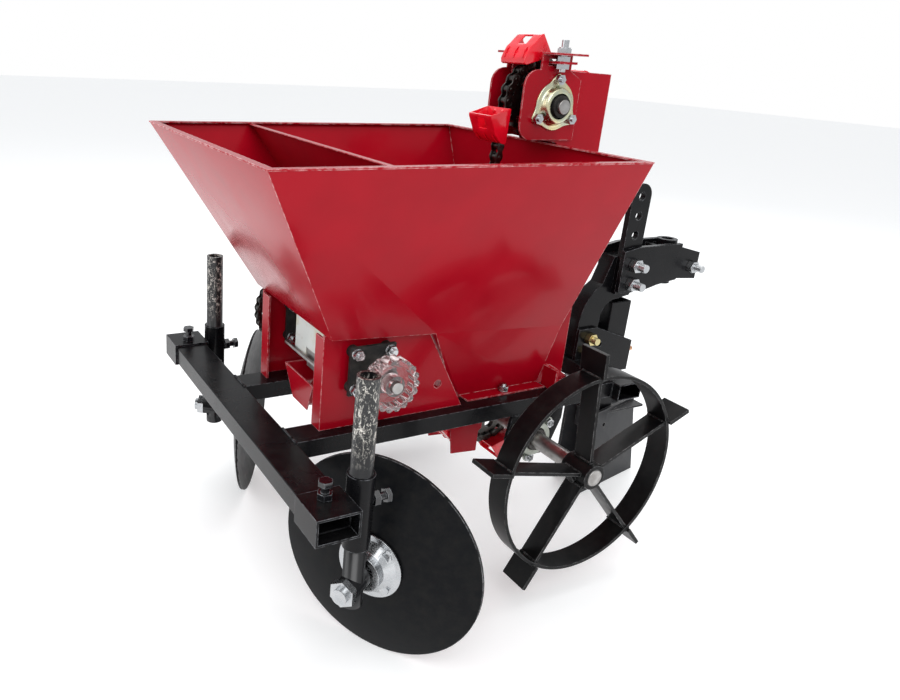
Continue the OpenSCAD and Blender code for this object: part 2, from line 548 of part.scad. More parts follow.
module seed_tube() color(RED) {
  w = tube_w / 2;
  z0 = 118;
  difference() {
    union() {
      for (s = [-1, 1]) {
        y = s < 0 ? row_y - w - 2 : row_y + w;
        xz_plate([[hx1 + 0.3, z0 + 120], [hx1 + 0.3, rim_h + 1], [hx1 - 46, rim_h + 9], [hx1 - 46, head_z + 60], [hx1 + 6, head_z + 60],
          [hx1 + 6, head_z + 48], [tube_x1, head_z + 46], [tube_x1, z0 + 40], [tube_x1 - 30, z0], [tube_x1 - 44, z0],
          [tube_x1 - 44, z0 + 120]], y, y + 2);
        // lip that the tension bolt passes through
        box([head_x - 18, s < 0 ? y - 24 : y, head_z + 56.5], [head_x + 14, s < 0 ? y + 2 : y + 26, head_z + 60]);
      }
      box([tube_x1 - 2, row_y - w - 1, z0 + 40], [tube_x1, row_y + w + 1, head_z + 46]);
      xz_plate([[tube_x1 - 2, z0 + 41], [tube_x1, z0 + 40], [tube_x1 - 30, z0], [tube_x1 - 32.5, z0]], row_y - w - 1, row_y + w + 1);
      box([hx1 + 0.3, row_y - w - 1, z0 + 150], [hx1 + 2.3, row_y + w + 1, rim_h - 12]);
    }
    // room for the shaft, the bearings and the tension bolts
    cyl_y([head_x, row_y - 60, head_z], 50, 120);
    for (a = [90, 210, 330]) cyl_y([head_x + 35.75 * cos(a), row_y - 60, head_z + 35.75 * sin(a)], 18, 120);
    for (s = [-1, 1]) cyl_z([bolt_at(s)[0], bolt_at(s)[1], head_z + 50], 10.4, 14);
  }
}
module seed_throat() color(RED) {
  w = tube_w / 2;
  zt = bar_top - 0.3;
  x0 = axle_x - 112;
  x1 = x0 + 84;
  for (s = [-1, 1]) {
    y = s < 0 ? row_y - w - 2 : row_y + w;
    difference() {
      xz_plate([[x0, zt], [x0, 196], [x0 + 22, 186], [x0 + 28, 144], [x0 + 78, 140], [x0 + 78, 176], [x1, 180], [x1, zt]],
        y, y + 2);
      cyl_y([axle_x, y - 1, axle_z], 60, 4);
    }
    box([x0, s < 0 ? y - 16 : y, zt - 2], [x1, s < 0 ? y + 2 : y + 18, zt]);
  }
  box([x0 - 2, row_y - w - 2, 196], [x0, row_y + w + 2, zt]);
}

// ---- ground wheels ----
hanger_y = [bar_out_r, bar_out_l - bar_w - 0];
module axle_hangers() color(BLACK) for (y = hanger_y) difference() {
  union() {
    xz_plate([[axle_x - 40, bar_top - bar_h], [axle_x + 60, bar_top - bar_h], [axle_x + 60, axle_z + 20],
      [axle_x + 38, axle_z - 36], [axle_x - 38, axle_z - 36], [axle_x - 46, axle_z]], y, y + 6);
  }
  cyl_y([axle_x, y - 1, axle_z], 42, 8);
  for (a = [90, 210, 330]) cyl_y([axle_x + 35.75 * cos(a), y - 1, axle_z - 35.75 * sin(a)], 8.4, 8);
}
module axle_bearings() for (y = hanger_y) translate([axle_x, y, axle_z]) rotate([90, 0, 0]) {
  color(ZINC) difference() {
    union() {
      cylinder(d = 62, h = 2.5);
      cylinder(d = 54, h = 13);
      for (a = [90, 210, 330]) rotate(-a) {
        translate([35.75, 0, 0]) cylinder(d = 17, h = 2.5);
        translate([20, -8.5, 0]) cube([15.75, 17, 2.5]);
      }
    }
    translate([0, 0, -1]) cylinder(d = 51, h = 11);
    translate([0, 0, -1]) cylinder(d = 38, h = 20);
    for (a = [90, 210, 330]) rotate(-a) translate([35.75, 0, -1]) cylinder(d = 8.4, h = 5);
  }
  color(DARK) difference() {
    union() { translate([0, 0, -5]) cylinder(d = 41.5, h = 14.9); cylinder(d = 50.9, h = 9.9); cylinder(d = 34, h = 17); }
    translate([0, 0, -6]) cylinder(d = axle_d + 2 * run_gap, h = 30);
  }
  color(STEEL) for (a = [90, 210, 330]) rotate(-a) translate([35.75, 0, 0]) {
    translate([0, 0, -12]) cylinder(d = 8, h = 22);
    translate([0, 0, 2.5]) cylinder(d = 13 / cos(30), h = 5.5, $fn = 6);
    translate([0, 0, -11.5]) cylinder(d = 13 / cos(30), h = 5.5, $fn = 6);
  }
}
module wheel_axle() color(STEEL) cyl_y([axle_x, -wheel_y - 25, axle_z], axle_d, 2 * (wheel_y + 25));
module wheel_rim() color(BLACK) translate([axle_x, -wheel_y, axle_z]) rotate([90, 0, 0]) {
  difference() {
    translate([0, 0, -rim_width / 2]) cylinder(r = rim_r, h = rim_width, $fn = 96);
    translate([0, 0, -rim_width]) cylinder(r = rim_r - 5, h = 2 * rim_width, $fn = 96);
  }
  for (i = [0:4]) rotate(95 + 72 * i) translate([rim_r - 1, -3, -rim_width / 2 - 5]) cube([cleat_h + 1, 6, rim_width + 10]);
}
module wheel_spider() color(BLACK) translate([axle_x, -wheel_y, axle_z]) rotate([90, 0, 0]) difference() {
  union() {
    cylinder(d = axle_d + 12, h = 46, center = true);
    for (i = [0:4]) rotate(95 + 72 * i) translate([axle_d / 2 + 3, -2.5, -15]) cube([rim_r - 5.15 - axle_d / 2 - 3, 5, 30]);
    for (i = [0:4]) rotate(59 + 72 * i) if (i == 2) translate([axle_d / 2 + 4, 0, 0]) rotate([0, 90, 0]) cylinder(d = 13 / cos(30), h = 7, $fn = 6);
  }
  cylinder(d = axle_d, h = 60, center = true);
}
module wheel_rim_right() wheel_rim();
module wheel_spider_right() wheel_spider();
module wheel_rim_left() mirror([0, 1, 0]) wheel_rim();
module wheel_spider_left() mirror([0, 1, 0]) wheel_spider();

// ---- hiller discs, drawn on the right ----
module at_spindle() translate([shank_x, -shank_y, disc_z]) rotate([0, 90, disc_angle]) children();
module clamp_body() color(BLACK) {
  yc = shank_y + 10;
  difference() {
    box([tool_x - clamp_w / 2, -yc - 28, bar_top - cross_h / 2 - clamp_h / 2], [tool_x + clamp_w / 2, -yc + 28, bar_top - cross_h / 2 + clamp_h / 2]);
    box([tool_x - cross_w / 2 - 0.2, -yc - 29, bar_top - cross_h - 0.2], [tool_x + cross_w / 2 + 0.2, -yc + 29, bar_top + 0.2]);
    cyl_z([tool_x, -yc + 10, bar_top], 10.4, 9);
  }
  difference() {
    cyl_z([shank_x, -shank_y, 195], sleeve_d, 97);
    cyl_z([shank_x, -shank_y, 194], shank_d + 2 * run_gap, 99);
    cyl_x([shank_x + 5, -shank_y, 254], 10.4, 20);
  }
  // weld pad between the clamp and the sleeve
  difference() {
    box([tool_x + clamp_w / 2 - 1, -shank_y - 10, bar_top - cross_h + 2], [shank_x - 10, -shank_y + 10, bar_top - 2]);
    cyl_z([shank_x, -shank_y, 194], sleeve_d - 2, 99);
  }
}
module clamp_screws() color(DARK) {
  yc = shank_y + 10;
  cyl_z([tool_x, -yc + 10, bar_top + 0.3], 10, 26);
  hex_z([tool_x, -yc + 10, bar_top + cross_h / 2 - cross_h / 2 + 3.2 + 0.3], 17, 8);
  hex_z([tool_x, -yc + 10, bar_top + 20], 16, 6.5);
  cyl_x([shank_x + shank_d / 2 + 0.15, -shank_y, 254], 10, 26);
  hex_x([shank_x + sleeve_d / 2 + 0.3, -shank_y, 254], 17, 8);
  hex_x([shank_x + sleeve_d / 2 + 17, -shank_y, 254], 16, 6.5);
}
module shank() color(BLACK) {
  difference() {
    union() {
      cyl_z([shank_x, -shank_y, shank_bot], shank_d, shank_top - shank_bot);
      at_spindle() translate([0, 0, -17]) cylinder(d = 30, h = 34);
    }
    cyl_z([shank_x, -shank_y, shank_bot + 60], shank_d - 7, shank_top);
    cyl_z([shank_x, -shank_y, shank_bot - 1], shank_d - 7, 8);
    at_spindle() cylinder(d = 20, h = 80, center = true);
  }
  color(STEEL) at_spindle() {
    translate([0, 0, -33]) cylinder(d = 20, h = 84);
    translate([0, 0, -27]) cylinder(d = 30 / cos(30), h = 10, $fn = 6);
    translate([0, 0, 46]) cylinder(d = 27, h = 4);
  }
}
hub_z0 = 20;
module disc_hub() color(ZINC) at_spindle() difference() {
  union() {
    translate([0, 0, hub_z0]) cylinder(d = 50, h = 22);
    translate([0, 0, hub_z0 + 12]) cylinder(d1 = 50, d2 = 76, h = 10);
    translate([0, 0, hub_z0 + 21]) cylinder(d = 88, h = 3);
    for (i = [0:3]) rotate(45 + 90 * i) translate([34, 0, hub_z0 + 17]) {
      cylinder(d = 14.4, h = 5, $fn = 6);
      cylinder(d = 8, h = 16);
    }
  }
  translate([0, 0, hub_z0 - 1]) cylinder(d = 20 + 2 * run_gap, h = 14);
  translate([0, 0, hub_z0 + 12]) cylinder(d = 36, h = 20);
}
module hiller_disc() color(DARK) at_spindle() translate([0, 0, hub_z0 + 24]) difference() {
  intersection() {
    translate([0, 0, dish_r]) difference() { sphere(r = dish_r, $fn = 96); sphere(r = dish_r - 4, $fn = 96); }
    cylinder(r = disc_r, h = 60, $fn = 96);
  }
  translate([0, 0, -1]) cylinder(d = 36, h = 10);
  for (i = [0:3]) rotate(45 + 90 * i) translate([34, 0, -1]) cylinder(d = 8.2, h = 12);
}
module clamp_right() clamp_body();
module clamp_screws_right() clamp_screws();
module shank_right() shank();
module disc_hub_right() disc_hub();
module disc_right() hiller_disc();
module clamp_left() mirror([0, 1, 0]) clamp_body();
module clamp_screws_left() mirror([0, 1, 0]) clamp_screws();
module shank_left() mirror([0, 1, 0]) shank();
module disc_hub_left() mirror([0, 1, 0]) disc_hub();
module disc_left() mirror([0, 1, 0]) hiller_disc();

// ---- furrow opener ----
module opener_leg() color(BLACK) difference() {
  mid_box([leg_cx, row_y, 238], [leg_x, leg_y, 246]);
  mid_box([leg_cx, row_y, 240], [leg_x - 6, leg_y - 6, 260]);
}
function shoe_nose(z) = leg_cx + 128 - 26 * pow(z / 150, 1.4);
module opener_shoe() color(DARK) {
  // two wings that meet in a nose and just clear the leg's front corners
  wing = 1 + (leg_y / 2 + 2.3) / (94 - leg_x / 2) * 136;
  for (s = [-1, 1]) difference() {
    hexa([[leg_cx - 42, row_y + s * wing - 3, 0], [leg_cx + 126, row_y - 2, 0], [leg_cx + 126, row_y + 2, 0], [leg_cx - 42, row_y + s * wing + 3, 0]],
         [[leg_cx - 42, row_y + s * wing - 3, 160], [leg_cx + 94, row_y - 2, 160], [leg_cx + 94, row_y + 2, 160], [leg_cx - 42, row_y + s * wing + 3, 160]]);
    cyl_y([leg_cx - 2, row_y - 60, 130], 8, 120);
  }
  difference() {
    box([leg_cx - 24, row_y - 24, 150], [leg_cx + 94, row_y + 24, 154]);
    mid_box([leg_cx, row_y, 152], [leg_x, leg_y, 10]);
  }
  difference() {
    mid_box([leg_cx, row_y, 134], [leg_x + 10, leg_y + 10, 36]);
    mid_box([leg_cx, row_y, 134], [leg_x, leg_y, 40]);
  }
}
module leg_bracket() color(BLACK) {
  for (s = [-1, 1]) {
    y = s < 0 ? row_y - ear_y - socket_t : row_y + ear_y;
    difference() {
      xz_plate([[bar_x1 + 6, bar_top], [bar_x1 + 6, bar_top + 56], [bar_x1 + 46, bar_top + 56], [leg_cx + leg_x / 2 + 12, bar_top + 22],
        [leg_cx + leg_x / 2 + 12, 232], [bar_x1 + cross_w, 232], [bar_x1 + cross_w, bar_top]], y, y + socket_t);
      for (z = [278, 304]) cyl_y([bolt_x, y - 1, z], 12.2, 8);
      cyl_y([bar_x1 + 57, y - 1, 290], 12.2, 8);
    }
  }
  for (x = [leg_cx - leg_x / 2 - 6.3, leg_cx + leg_x / 2 + 0.3]) difference() {
    box([x, row_y - ear_y, 236], [x + 6, row_y + ear_y, bar_top + 16]);
    if (x > leg_cx) cyl_x([x - 1, row_y, 262], 8.2, 8);
  }
}
module leg_screws() {
  color([0.8, 0.6, 0.4]) cyl_x([leg_cx + leg_x / 2 + 0.15, row_y, 262], 8, 38);
  color(STEEL) hex_x([leg_cx + leg_x / 2 + 6.6, row_y, 262], 13, 6.5);
  color([0.75, 0.65, 0.35]) for (z = [278, 304]) {
    cyl_y([bolt_x, row_y - ear_y - 26, z], 12, 2 * ear_y + 42);
    hex_y([bolt_x, row_y - ear_y - socket_t - 10, z], 19, 10);
    hex_y([bolt_x, row_y + ear_y + socket_t, z], 19, 8);
  }
}

// ---- hitch ----
arm_t = leg_y;
arm_x = bar_x1 + 86;
module hitch_arm() color(BLACK) difference() {
  xz_plate(concat([[bar_x1 + 8, 268], [bar_x1 + 54, 268], [bar_x1 + 54, 332]],
    [for (a = [180:-15:90]) [arm_x + 32 * cos(a), 336 + 32 * sin(a)]], [[arm_x + 28, 372], [arm_x + 44, 396], [arm_x + 44, 444],
      [arm_x - 22, 444]],
    [for (a = [120:12:180]) [arm_x + 78 * cos(a), 330 + 78 * sin(a)]]), row_y - arm_t / 2, row_y + arm_t / 2);
  for (z = [278, 304]) cyl_y([bolt_x, row_y - 30, z], 12.2, 60);
  for (i = [0, 1]) cyl_y([mast_x, row_y - 30, mast_z0 + i * mast_pitch - 16], mast_hole, 60);
}
mast_y = row_y - arm_t / 2 - 10.1;
module hitch_mast() color(BLACK) difference() {
  union() {
    box([mast_x - 21, mast_y, 380], [mast_x + 21, mast_y + 10, mast_z0 + 4 * mast_pitch]);
    cyl_y([mast_x, mast_y, mast_z0 + 4 * mast_pitch], 42, 10);
  }
  for (i = [0:4]) cyl_y([mast_x, mast_y - 1, mast_z0 + i * mast_pitch - 16 * (i < 2 ? 1 : 0)], mast_hole, 12);
}
module hitch_head() color(BLACK) {
  for (y = [mast_y - 8.1, row_y + arm_t / 2 + 0.1]) difference() {
    union() {
      xz_plate([[mast_x - 24, 386], [mast_x - 24, 456], [mast_x + 10, 462], [pivot_x + 8, 462], [pivot_x + 8, 398], [mast_x + 66, 392],
        [mast_x + 40, 386]], y, y + 8);
      xz_plate([[pivot_x + 8, 456], [pivot_x + 56, 444], [pivot_x + 56, 396], [pivot_x + 8, 400]], y, y + 8);
    }
    for (i = [0, 1]) cyl_y([mast_x, y - 1, mast_z0 + i * mast_pitch - 16], mast_hole, 10);
    cyl_y([draw_x, y - 1, 420], 12.4, 10);
  }
  difference() {
    union() {
      cyl_z([pivot_x, row_y - 5, 388], pivot_d, 78);
      box([pivot_x - 30, mast_y - 1, 400], [pivot_x - 24, row_y + arm_t / 2 + 1, 456]);
      box([pivot_x - 10, mast_y - 1, 400], [pivot_x + 10, row_y + arm_t / 2 + 1, 456]);
    }
    cyl_z([pivot_x, row_y - 5, 387], hitch_bore, 80);
  }
}
module hitch_bolts() color(STEEL) for (i = [0, 1]) {
  z = mast_z0 + i * mast_pitch - 16;
  cyl_y([mast_x, mast_y - 36, z], mast_hole - 0.4, 36 + 10 + arm_t + 22);
  hex_y([mast_x, mast_y - 20.2, z], 21, 12);
  hex_y([mast_x, row_y + arm_t / 2 + 8.2, z], 21, 9);
}
module drawbar_bolt() color(STEEL) {
  cyl_y([draw_x, mast_y - 34, 420], 12, 34 + 10 + arm_t + 20);
  hex_y([draw_x, mast_y - 19.2, 420], 19, 11);
  hex_y([draw_x, row_y + arm_t / 2 + 8.2, 420], 19, 8);
}

side_bar_right();
side_bar_left();
rear_tool_bar();
front_crossbar();
hopper_shell();
hopper_divider();
hopper_feet();
hopper_fasteners();
metering_cheek_right();
metering_cheek_left();
metering_body();
metering_gate();
metering_shaft();
metering_roller();
metering_sprocket();
metering_bearings();
rate_knob();
fertiliser_chute();
fertiliser_chain();
axle_sprocket();
foot_sprocket();
head_sprocket();
head_shaft();
head_cheeks();
head_bearing_flanges();
head_bearing_inserts();
head_bolts();
chain_rising();
chain_over_head();
chain_falling();
chain_under_foot();
seed_cups();
seed_tube();
seed_throat();
axle_hangers();
axle_bearings();
wheel_axle();
wheel_rim_right();
wheel_spider_right();
wheel_rim_left();
wheel_spider_left();
clamp_right();
clamp_screws_right();
shank_right();
disc_hub_right();
disc_right();
clamp_left();
clamp_screws_left();
shank_left();
disc_hub_left();
disc_left();
opener_leg();
opener_shoe();
leg_bracket();
leg_screws();
hitch_arm();
hitch_mast();
hitch_head();
hitch_bolts();
drawbar_bolt();
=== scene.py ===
import json
import math

import bmesh
import bpy
from mathutils import Matrix, Vector


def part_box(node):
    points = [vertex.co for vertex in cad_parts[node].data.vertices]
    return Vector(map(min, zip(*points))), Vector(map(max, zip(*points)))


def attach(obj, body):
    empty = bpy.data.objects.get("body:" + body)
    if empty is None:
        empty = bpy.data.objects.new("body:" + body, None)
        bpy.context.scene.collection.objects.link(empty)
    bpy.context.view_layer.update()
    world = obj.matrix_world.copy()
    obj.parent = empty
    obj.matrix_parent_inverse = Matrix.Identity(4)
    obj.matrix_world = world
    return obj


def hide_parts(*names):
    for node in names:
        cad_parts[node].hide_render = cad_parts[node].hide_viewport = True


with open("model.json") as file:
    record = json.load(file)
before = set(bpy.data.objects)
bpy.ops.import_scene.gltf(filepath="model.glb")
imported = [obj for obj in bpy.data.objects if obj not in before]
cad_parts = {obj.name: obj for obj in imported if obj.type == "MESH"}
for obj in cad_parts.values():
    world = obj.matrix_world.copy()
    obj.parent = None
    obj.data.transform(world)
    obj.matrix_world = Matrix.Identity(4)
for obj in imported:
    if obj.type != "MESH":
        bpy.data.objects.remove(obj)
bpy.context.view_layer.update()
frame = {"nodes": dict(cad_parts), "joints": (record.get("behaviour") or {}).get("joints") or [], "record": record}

# ---- Studio: pale floor, soft lights and the camera -------------------------
# A plain sweep with large soft lights. The painted sheet mirrors the pale
# floor, so the floor reaches well past the machine on every side.
MM = 0.001
scene = bpy.context.scene
scene.view_settings.view_transform = "Standard"

camera_data = bpy.data.cameras.new("camera")
camera = bpy.data.objects.new("camera", camera_data)
scene.collection.objects.link(camera)
scene.camera = camera
yaw, pitch, roll = (math.radians(a) for a in (27.83, 19.4, -3.36))
ahead = Vector((math.sin(yaw) * math.cos(pitch), math.cos(yaw) * math.cos(pitch), -math.sin(pitch)))
level = Vector((math.cos(yaw), -math.sin(yaw), 0))
down = ahead.cross(level)
side = level * math.cos(roll) + down * math.sin(roll)
up = level * math.sin(roll) - down * math.cos(roll)
camera.matrix_world = Matrix.Translation((-0.7354, -0.9127, 0.745)) @ Matrix(
    (side, up, -ahead)).transposed().to_4x4()
camera_data.sensor_width = 36
camera_data.lens = 765.58 / 900 * 36
camera_data.shift_x = 0.134
camera_data.shift_y = -0.035
camera_data.clip_start = 0.01

world = bpy.data.worlds.new("studio")
scene.world = world
world.use_nodes = True
sky = world.node_tree.nodes["Background"]
sky.inputs["Color"].default_value = (0.96, 0.98, 1, 1)
sky.inputs["Strength"].default_value = 0.8
backdrop = world.node_tree.nodes.new("ShaderNodeBackground")
backdrop.inputs["Color"].default_value = (1, 1, 1, 1)
seen = world.node_tree.nodes.new("ShaderNodeLightPath")
either = world.node_tree.nodes.new("ShaderNodeMixShader")
world.node_tree.links.new(seen.outputs["Is Camera Ray"], either.inputs[0])
world.node_tree.links.new(sky.outputs[0], either.inputs[1])
world.node_tree.links.new(backdrop.outputs[0], either.inputs[2])
world.node_tree.links.new(either.outputs[0], world.node_tree.nodes["World Output"].inputs["Surface"])


def soft_light(name, place, aim, width, height, power):
    data = bpy.data.lights.new(name, "AREA")
    data.shape = "RECTANGLE"
    data.size, data.size_y, data.energy = width, height, power
    light = bpy.data.objects.new(name, data)
    light.location = place
    light.rotation_euler = (Vector(aim) - Vector(place)).to_track_quat("-Z", "Y").to_euler()
    scene.collection.objects.link(light)


soft_light("key", (-1.2, -2.2, 2.4), (0, 0, 0.4), 2.2, 1.8, 42)
soft_light("rear", (-2.6, 0.6, 1.6), (-0.2, 0, 0.4), 1.8, 1.8, 20)
soft_light("rim", (1.8, 1.8, 2.2), (0, 0, 0.4), 2.0, 1.6, 22)
soft_light("top", (0.1, -0.1, 2.8), (0, 0, 0), 2.4, 2.4, 24)

floor_mesh = bpy.data.meshes.new("floor")
floor_mesh.from_pydata([(-14, -14, 0), (14, -14, 0), (14, 14, 0), (-14, 14, 0)], [], [(0, 1, 2, 3)])
floor = bpy.data.objects.new("floor", floor_mesh)
scene.collection.objects.link(floor)
floor.location.z = -0.0006
floor_paint = bpy.data.materials.new("floor_paint")
floor_paint.use_nodes = True
floor_paint.node_tree.nodes["Principled BSDF"].inputs["Base Color"].default_value = (0.9, 0.9, 0.9, 1)
floor_paint.node_tree.nodes["Principled BSDF"].inputs["Roughness"].default_value = 0.7
floor_paint.node_tree.nodes["Principled BSDF"].inputs["Emission Color"].default_value = (1, 1, 1, 1)
floor_paint.node_tree.nodes["Principled BSDF"].inputs["Emission Strength"].default_value = 0.2
floor_mesh.materials.append(floor_paint)

# ---- Square tube frame ------------------------------------------------------
# Two welded side bars, a rear tool bar and a short front crossbar of square
# steel tube. All are sprayed black over the welds, and the paint is rubbed
# pale along the edges that tools and clamps slide on.
BODY_OF = {n: b for b, members in frame["record"]["behaviour"]["bodies"].items() for n in members}


def new_group(name, inputs, outputs):
    group = bpy.data.node_groups.new(name, "ShaderNodeTree")
    for label, kind, value in inputs:
        socket = group.interface.new_socket(label, in_out="INPUT", socket_type="NodeSocket" + kind)
        if value is not None:
            socket.default_value = value
    for label, kind in outputs:
        group.interface.new_socket(label, in_out="OUTPUT", socket_type="NodeSocket" + kind)
    return group, group.nodes.new("NodeGroupInput").outputs, group.nodes.new("NodeGroupOutput").inputs


def node(tree, kind, inputs=None, **settings):
    made = tree.nodes.new(kind)
    for key, value in settings.items():
        setattr(made, key, value)
    for key, value in (inputs or {}).items():
        socket = made.inputs[key]
        if isinstance(value, bpy.types.NodeSocket):
            tree.links.new(value, socket)
        else:
            socket.default_value = value
    return made


def noise(tree, place, scale, detail=3.0, rough=0.55, distort=0.0):
    return node(tree, "ShaderNodeTexNoise", {"Vector": place, "Scale": scale, "Detail": detail,
                "Roughness": rough, "Distortion": distort}).outputs["Fac"]


def span(tree, value, low, high, to_low=0.0, to_high=1.0):
    return node(tree, "ShaderNodeMapRange", {"Value": value, "From Min": low, "From Max": high,
                "To Min": to_low, "To Max": to_high}).outputs["Result"]


def math_node(tree, kind, a, b=0.0):
    return node(tree, "ShaderNodeMath", {0: a, 1: b}, operation=kind).outputs[0]


# wear along outside edges, broken up by noise; on the red paint this edge mask also lays on a painted highlight
edge_wear, gi, go = new_group("edge_wear", [("Vector", "Vector", None), ("Width", "Float", 0.002),
    ("Amount", "Float", 0.5), ("Breakup", "Float", 120.0)], [("Mask", "Float")])
rounded = node(edge_wear, "ShaderNodeBevel", {"Radius": gi["Width"]}, samples=6)
facing = node(edge_wear, "ShaderNodeNewGeometry")
turned = node(edge_wear, "ShaderNodeVectorMath", {0: rounded.outputs["Normal"], 1: facing.outputs["Normal"]},
    operation="DOT_PRODUCT").outputs["Value"]
edge = span(edge_wear, turned, 0.985, 0.86)
patchy = span(edge_wear, noise(edge_wear, gi["Vector"], gi["Breakup"], 4.0), 0.62, 0.38)
worn_and_lit = math_node(edge_wear, "MULTIPLY", edge, math_node(edge_wear, "MULTIPLY", patchy, gi["Amount"]))
edge_wear.links.new(worn_and_lit, go["Mask"])

# fine ripple of sprayed paint, and slow waves of the sheet beneath
sprayed, gi, go = new_group("sprayed_skin", [("Vector", "Vector", None), ("Fine", "Float", 900.0),
    ("Broad", "Float", 14.0)], [("Height", "Float"), ("Cloud", "Float")])
fine = noise(sprayed, gi["Vector"], gi["Fine"], 1.0)
broad = noise(sprayed, gi["Vector"], gi["Broad"], 2.0)
sprayed.links.new(math_node(sprayed, "ADD", math_node(sprayed, "MULTIPLY", fine, 0.12), broad), go["Height"])
sprayed.links.new(broad, go["Cloud"])

# dust, most on what faces up
dusty, gi, go = new_group("dust", [("Vector", "Vector", None), ("Amount", "Float", 0.3)], [("Mask", "Float")])
facing = node(dusty, "ShaderNodeNewGeometry")
upward = node(dusty, "ShaderNodeSeparateXYZ", {0: facing.outputs["Normal"]}).outputs["Z"]
settled = span(dusty, upward, -0.2, 1.0, 0.25, 1.0)
specks = span(dusty, noise(dusty, gi["Vector"], 55.0, 6.0, 0.7), 0.42, 0.75)
dusty.links.new(math_node(dusty, "MULTIPLY", settled, math_node(dusty, "MULTIPLY", specks, gi["Amount"])),
    go["Mask"])


def start_material(name):
    material = bpy.data.materials.new(name)
    material.use_nodes = True
    tree = material.node_tree
    place = node(tree, "ShaderNodeTexCoord").outputs["Object"]
    return material, tree, place, tree.nodes["Principled BSDF"]


def mix(tree, mask, first, second):
    made = node(tree, "ShaderNodeMix", data_type="RGBA")
    for socket, value in ((0, mask), (6, first), (7, second)):
        if isinstance(value, bpy.types.NodeSocket):
            tree.links.new(value, made.inputs[socket])
        else:
            made.inputs[socket].default_value = value if socket == 0 else (*value, 1)
    return made.outputs[2]


def placed_group(tree, group, inputs):
    made = node(tree, "ShaderNodeGroup", node_tree=group)
    for key, value in inputs.items():
        if isinstance(value, bpy.types.NodeSocket):
            tree.links.new(value, made.inputs[key])
        else:
            made.inputs[key].default_value = value
    return made.outputs


def bump(tree, shader, height, strength, distance):
    made = node(tree, "ShaderNodeBump", {"Height": height, "Strength": strength, "Distance": distance})
    tree.links.new(made.outputs["Normal"], shader.inputs["Normal"])


def painted(name, colour, worn_and_lit_tone, rough, coat, wear_and_highlight, dust, cloud=0.12, shine=0.12):
    """Sprayed paint: colour drifts a little, and the edges take the edge tone: paint rubbed through, and on the red
    paint also a painted highlight.
    """
    material, tree, place, shader = start_material(name)
    skin = placed_group(tree, sprayed, {"Vector": place})
    rubbed_and_lit = placed_group(tree, edge_wear, {"Vector": place, "Amount": wear_and_highlight, "Width": 0.0018})["Mask"]
    dirt = placed_group(tree, dusty, {"Vector": place, "Amount": dust})["Mask"]
    deep = tuple(c * (1 - 2 * cloud) for c in colour)
    tone = mix(tree, span(tree, skin["Cloud"], 0.35, 0.65), deep, colour)
    tone = mix(tree, dirt, tone, (0.42, 0.38, 0.33))
    # edge tone over the edges: rubbed paint, and on the red paint a painted highlight as well
    tree.links.new(mix(tree, rubbed_and_lit, tone, worn_and_lit_tone), shader.inputs["Base Color"])
    gloss = span(tree, skin["Cloud"], 0.3, 0.7, rough * 0.85, rough * 1.2)
    gloss = math_node(tree, "ADD", gloss, math_node(tree, "MULTIPLY", dirt, 0.4))
    tree.links.new(gloss, shader.inputs["Roughness"])
    shader.inputs["Coat Weight"].default_value = coat
    shader.inputs["Coat Roughness"].default_value = 0.06
    shader.inputs["Specular IOR Level"].default_value = shine
    bump(tree, shader, skin["Height"], 0.1, 0.0004)
    return material


BLACK_PAINT = painted("black_paint", (0.0045, 0.0045, 0.0055), (0.26, 0.27, 0.29), 0.26, 0.05, 0.7, 0.02)


def loose_mesh(node_name):
    """A merged copy of a CAD node's mesh, with its flat faces made whole."""
    bm = bmesh.new()
    bm.from_mesh(frame["nodes"][node_name].data)
    bmesh.ops.remove_doubles(bm, verts=bm.verts, dist=2e-6)
    bmesh.ops.dissolve_limit(bm, angle_limit=math.radians(0.5), verts=bm.verts, edges=bm.edges)
    return bm


def finish_mesh(piece, node_names, body):
    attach(piece, body)
    if node_names:
        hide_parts(*node_names)


def grouped(bm):
    """The separate solids of a mesh, each (its vertices, low corner, high corner) in mm."""
    seen, groups = set(), []
    for start in bm.verts:
        if start in seen:
            continue
        members, todo = [], [start]
        seen.add(start)
        while todo:
            v = todo.pop()
            members.append(v)
            for link in v.link_edges:
                other = link.other_vert(v)
                if other not in seen:
                    seen.add(other)
                    todo.append(other)
        low, high = (Vector([end(v.co[k] for v in members) * 1000 for k in range(3)]) for end in (min, max))
        groups.append((members, low, high))
    return groups


def add_object(name, bm, materials, smooth_angle=35):
    mesh = bpy.data.meshes.new(name)
    bm.to_mesh(mesh)
    bm.free()
    for face in mesh.polygons:
        face.use_smooth = True
    mesh.set_sharp_from_angle(angle=math.radians(smooth_angle))
    for material in materials:
        mesh.materials.append(material)
    piece = bpy.data.objects.new(name, mesh)
    scene.collection.objects.link(piece)
    return piece


def applied(piece):
    """The piece with its modifiers worked into a plain mesh."""
    graph = bpy.context.evaluated_depsgraph_get()
    mesh = bpy.data.meshes.new_from_object(piece.evaluated_get(graph))
    old = piece.data
    piece.modifiers.clear()
    piece.data = mesh
    mesh.name = piece.name
    if old.users == 0:
        bpy.data.meshes.remove(old) if isinstance(old, bpy.types.Mesh) else bpy.data.curves.remove(old)
    return piece


def softened(node_name, materials, width=0.0008, pick=None, segments=2):
    """A CAD node with its edges rounded as on the real steel. pick gives the
    material of a face from its centre and its solid's corners, in mm."""
    bm = loose_mesh(node_name)
    if pick:
        for members, low, high in grouped(bm):
            for face in {f for v in members for f in v.link_faces}:
                face.material_index = pick(face.calc_center_median() * 1000, low, high)
    piece = add_object(node_name + "_made", bm, materials)
    bevel = piece.modifiers.new("edge", "BEVEL")
    bevel.width, bevel.segments, bevel.angle_limit = width, segments, math.radians(32)
    bevel.limit_method, bevel.harden_normals = "ANGLE", True
    applied(piece)
    finish_mesh(piece, [node_name], BODY_OF[node_name])
    return piece


for tube in ("side_bar_right", "side_bar_left", "rear_tool_bar", "front_crossbar"):
    softened(tube, [BLACK_PAINT], 0.0022, segments=3)


